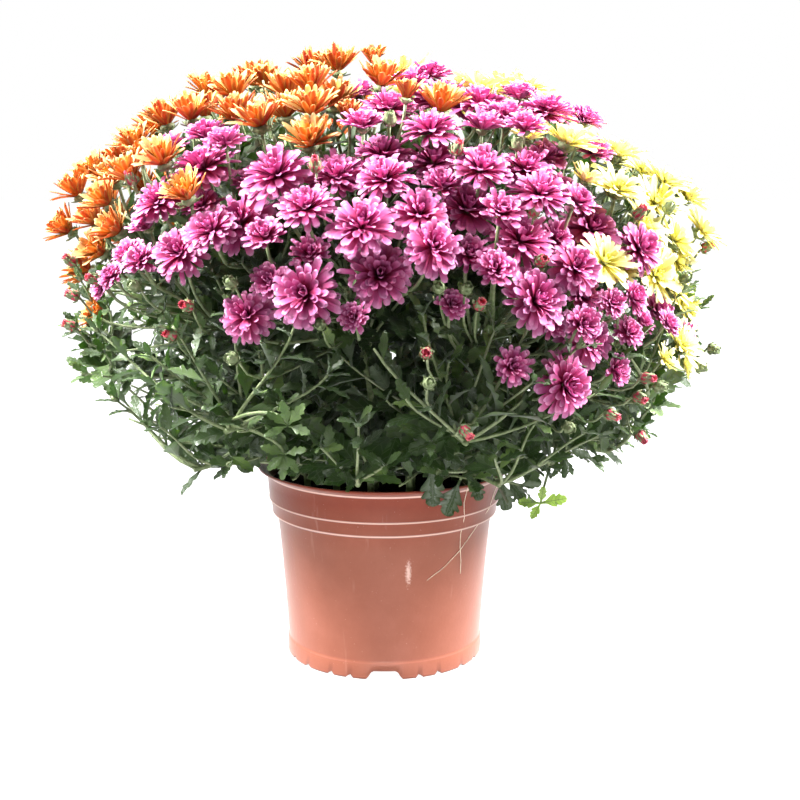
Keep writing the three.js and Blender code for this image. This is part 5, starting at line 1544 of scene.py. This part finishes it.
def add_branch(skin, start, along, tip, leaf_length, outline, dice):
    """A side branch with its leaves; some end in a small green bud."""
    reach = np.linalg.norm(tip - start)
    heading = unit(tip - start)
    rise = unit(heading + BRANCH_END_OUT * dome_outward(tip) + BRANCH_END_RISE * UP)
    first = BRANCH_BEND * reach * unit(heading + BRANCH_START_ALONG * along)
    path = bezier([start, start + first, tip - BRANCH_BEND * reach * rise, tip], BRANCH_POINTS)
    radii = np.linspace(*BRANCH_RADII, BRANCH_POINTS)
    add_tube(skin, path, radii, BRANCH_SIDES, (0, 0, dice.random(), 0))
    add_branch_leaves(skin, path, reach, leaf_length, outline, dice)
    end = unit(path[-1] - path[-2])
    if not inside_outline(tip + TIP_ROOM * end, outline):
        return
    if dice.random() < TIP_BUD_CHANCE:
        head = {"at": tip + end * TIP_BUD_AHEAD, "face": end, "radius": TIP_BUD_R, "turn": 0.0,
                "k": int(1000 * dice.random())}
        add_turned(skin, head, BUD_PROFILE, GREEN, TIP_BUD_TINT)
        add_petals(skin, head, TIP_BUD_SCALES, SCALE_DEPTH, SEPAL_WIDTHS, dice, BUD_SCALE_FOOT, GREEN)
    for i in range(TIP_LEAVES):
        side, _ = sides_of(end, i * 2 * math.pi / TIP_LEAVES + dice.random())
        length = some(dice, *TIP_LEAF_LENGTH)
        way, upper = unit(side * TIP_LEAF_OUT + end), end + STEM_LEAF_FLAT * UP
        add_leaf(skin, tip - end, way, upper, length, TIP_LEAF_DROOP, dice, STEM_LEAF)


def add_stem_leaves(skin, stem, dice):
    """The leaves that the solid stem has too, then a spiral of leaves down from its tip."""
    for root, way, upper, length, droop in solid_leaves(stem):
        size = SOLID_LEAF_SIZE
        if not inside_outline(root + length * way - droop * length * UP):
            way, droop, size = unit(way + TUCKED_RISE * UP), TUCKED_DROOP * droop, TUCKED_LEAF_SIZE
        add_leaf(skin, root, way, upper, length * size, droop * SOLID_LEAF_DROOP, dice, STEM_LEAF)
    turn = 2 * math.pi * dice.random()
    gone = stem["length"] - STEM_LEAF_FIRST
    while gone > 0 and stem["at"](gone / stem["length"])[2] > LOWEST_LEAF_Z:
        share = gone / stem["length"]
        at, along = stem["at"](share), stem["way"](share)
        turn += GOLDEN_ANGLE + dice.normal(0, STEM_TURN_STRAY)
        side, _ = sides_of(along, turn)
        way = leaf_way(side, along, STEM_LEAF_WAY)
        length = some(dice, *STEM_LEAF_LENGTH)
        if inside_outline(at + way * length):
            droop = some(dice, *LEAF_DROOP)
            add_leaf(skin, at, way, along + STEM_LEAF_FLAT * UP, length, droop, dice, STEM_LEAF)
        gone -= some(dice, *STEM_LEAF_STEP)


def add_overhanging(skin, lean, kind, start, root, tips, dice):
    """A twig that bends over the lip, with leaves from its end toward given tips."""
    reach = np.linalg.norm(root - start)
    first = TWIG_BENDS[0] * reach * unit(lean + UP)
    path = bezier([start, start + first, root + TWIG_BENDS[1] * reach * UP, root], BRANCH_POINTS)
    add_tube(skin, path, np.linspace(*TWIG_RADII, BRANCH_POINTS), STALK_SIDES)
    for tip in tips:
        upper = unit(EYE - root) + TWIG_LEAF_RISE * UP
        length = np.linalg.norm(tip - root)
        add_leaf(skin, root, unit(tip - root), upper, length, TWIG_LEAF_DROOP, dice, STEM_LEAF, kind)


def make_stem(stem):
    """One stem with its own leaves and its side branches."""
    skin = Skin()
    dice = np.random.default_rng(stem["k"] + STEM_SEED)
    path = np.concatenate([[stem["curve"][0] - UP * ROOT_DEPTH], stem["curve"][::STEM_POINT_STEP]])
    add_tube(skin, path, np.linspace(*STEM_RADII, len(path)), STEM_SIDES)
    add_stem_leaves(skin, stem, dice)
    for *form, number in stem["branches"]:
        add_branch(skin, *form, np.random.default_rng(BRANCH_SEED + number))
    for kind, start, root, tips in stem["overhanging"]:
        add_overhanging(skin, stem["lean"], kind, start, root, tips, dice)
    piece = skin.make(stem["name"] + "_fine", [stalk_green, leaf_green])
    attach(piece, "root")
    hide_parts(stem["name"])


for stem in stems:
    make_stem(stem)
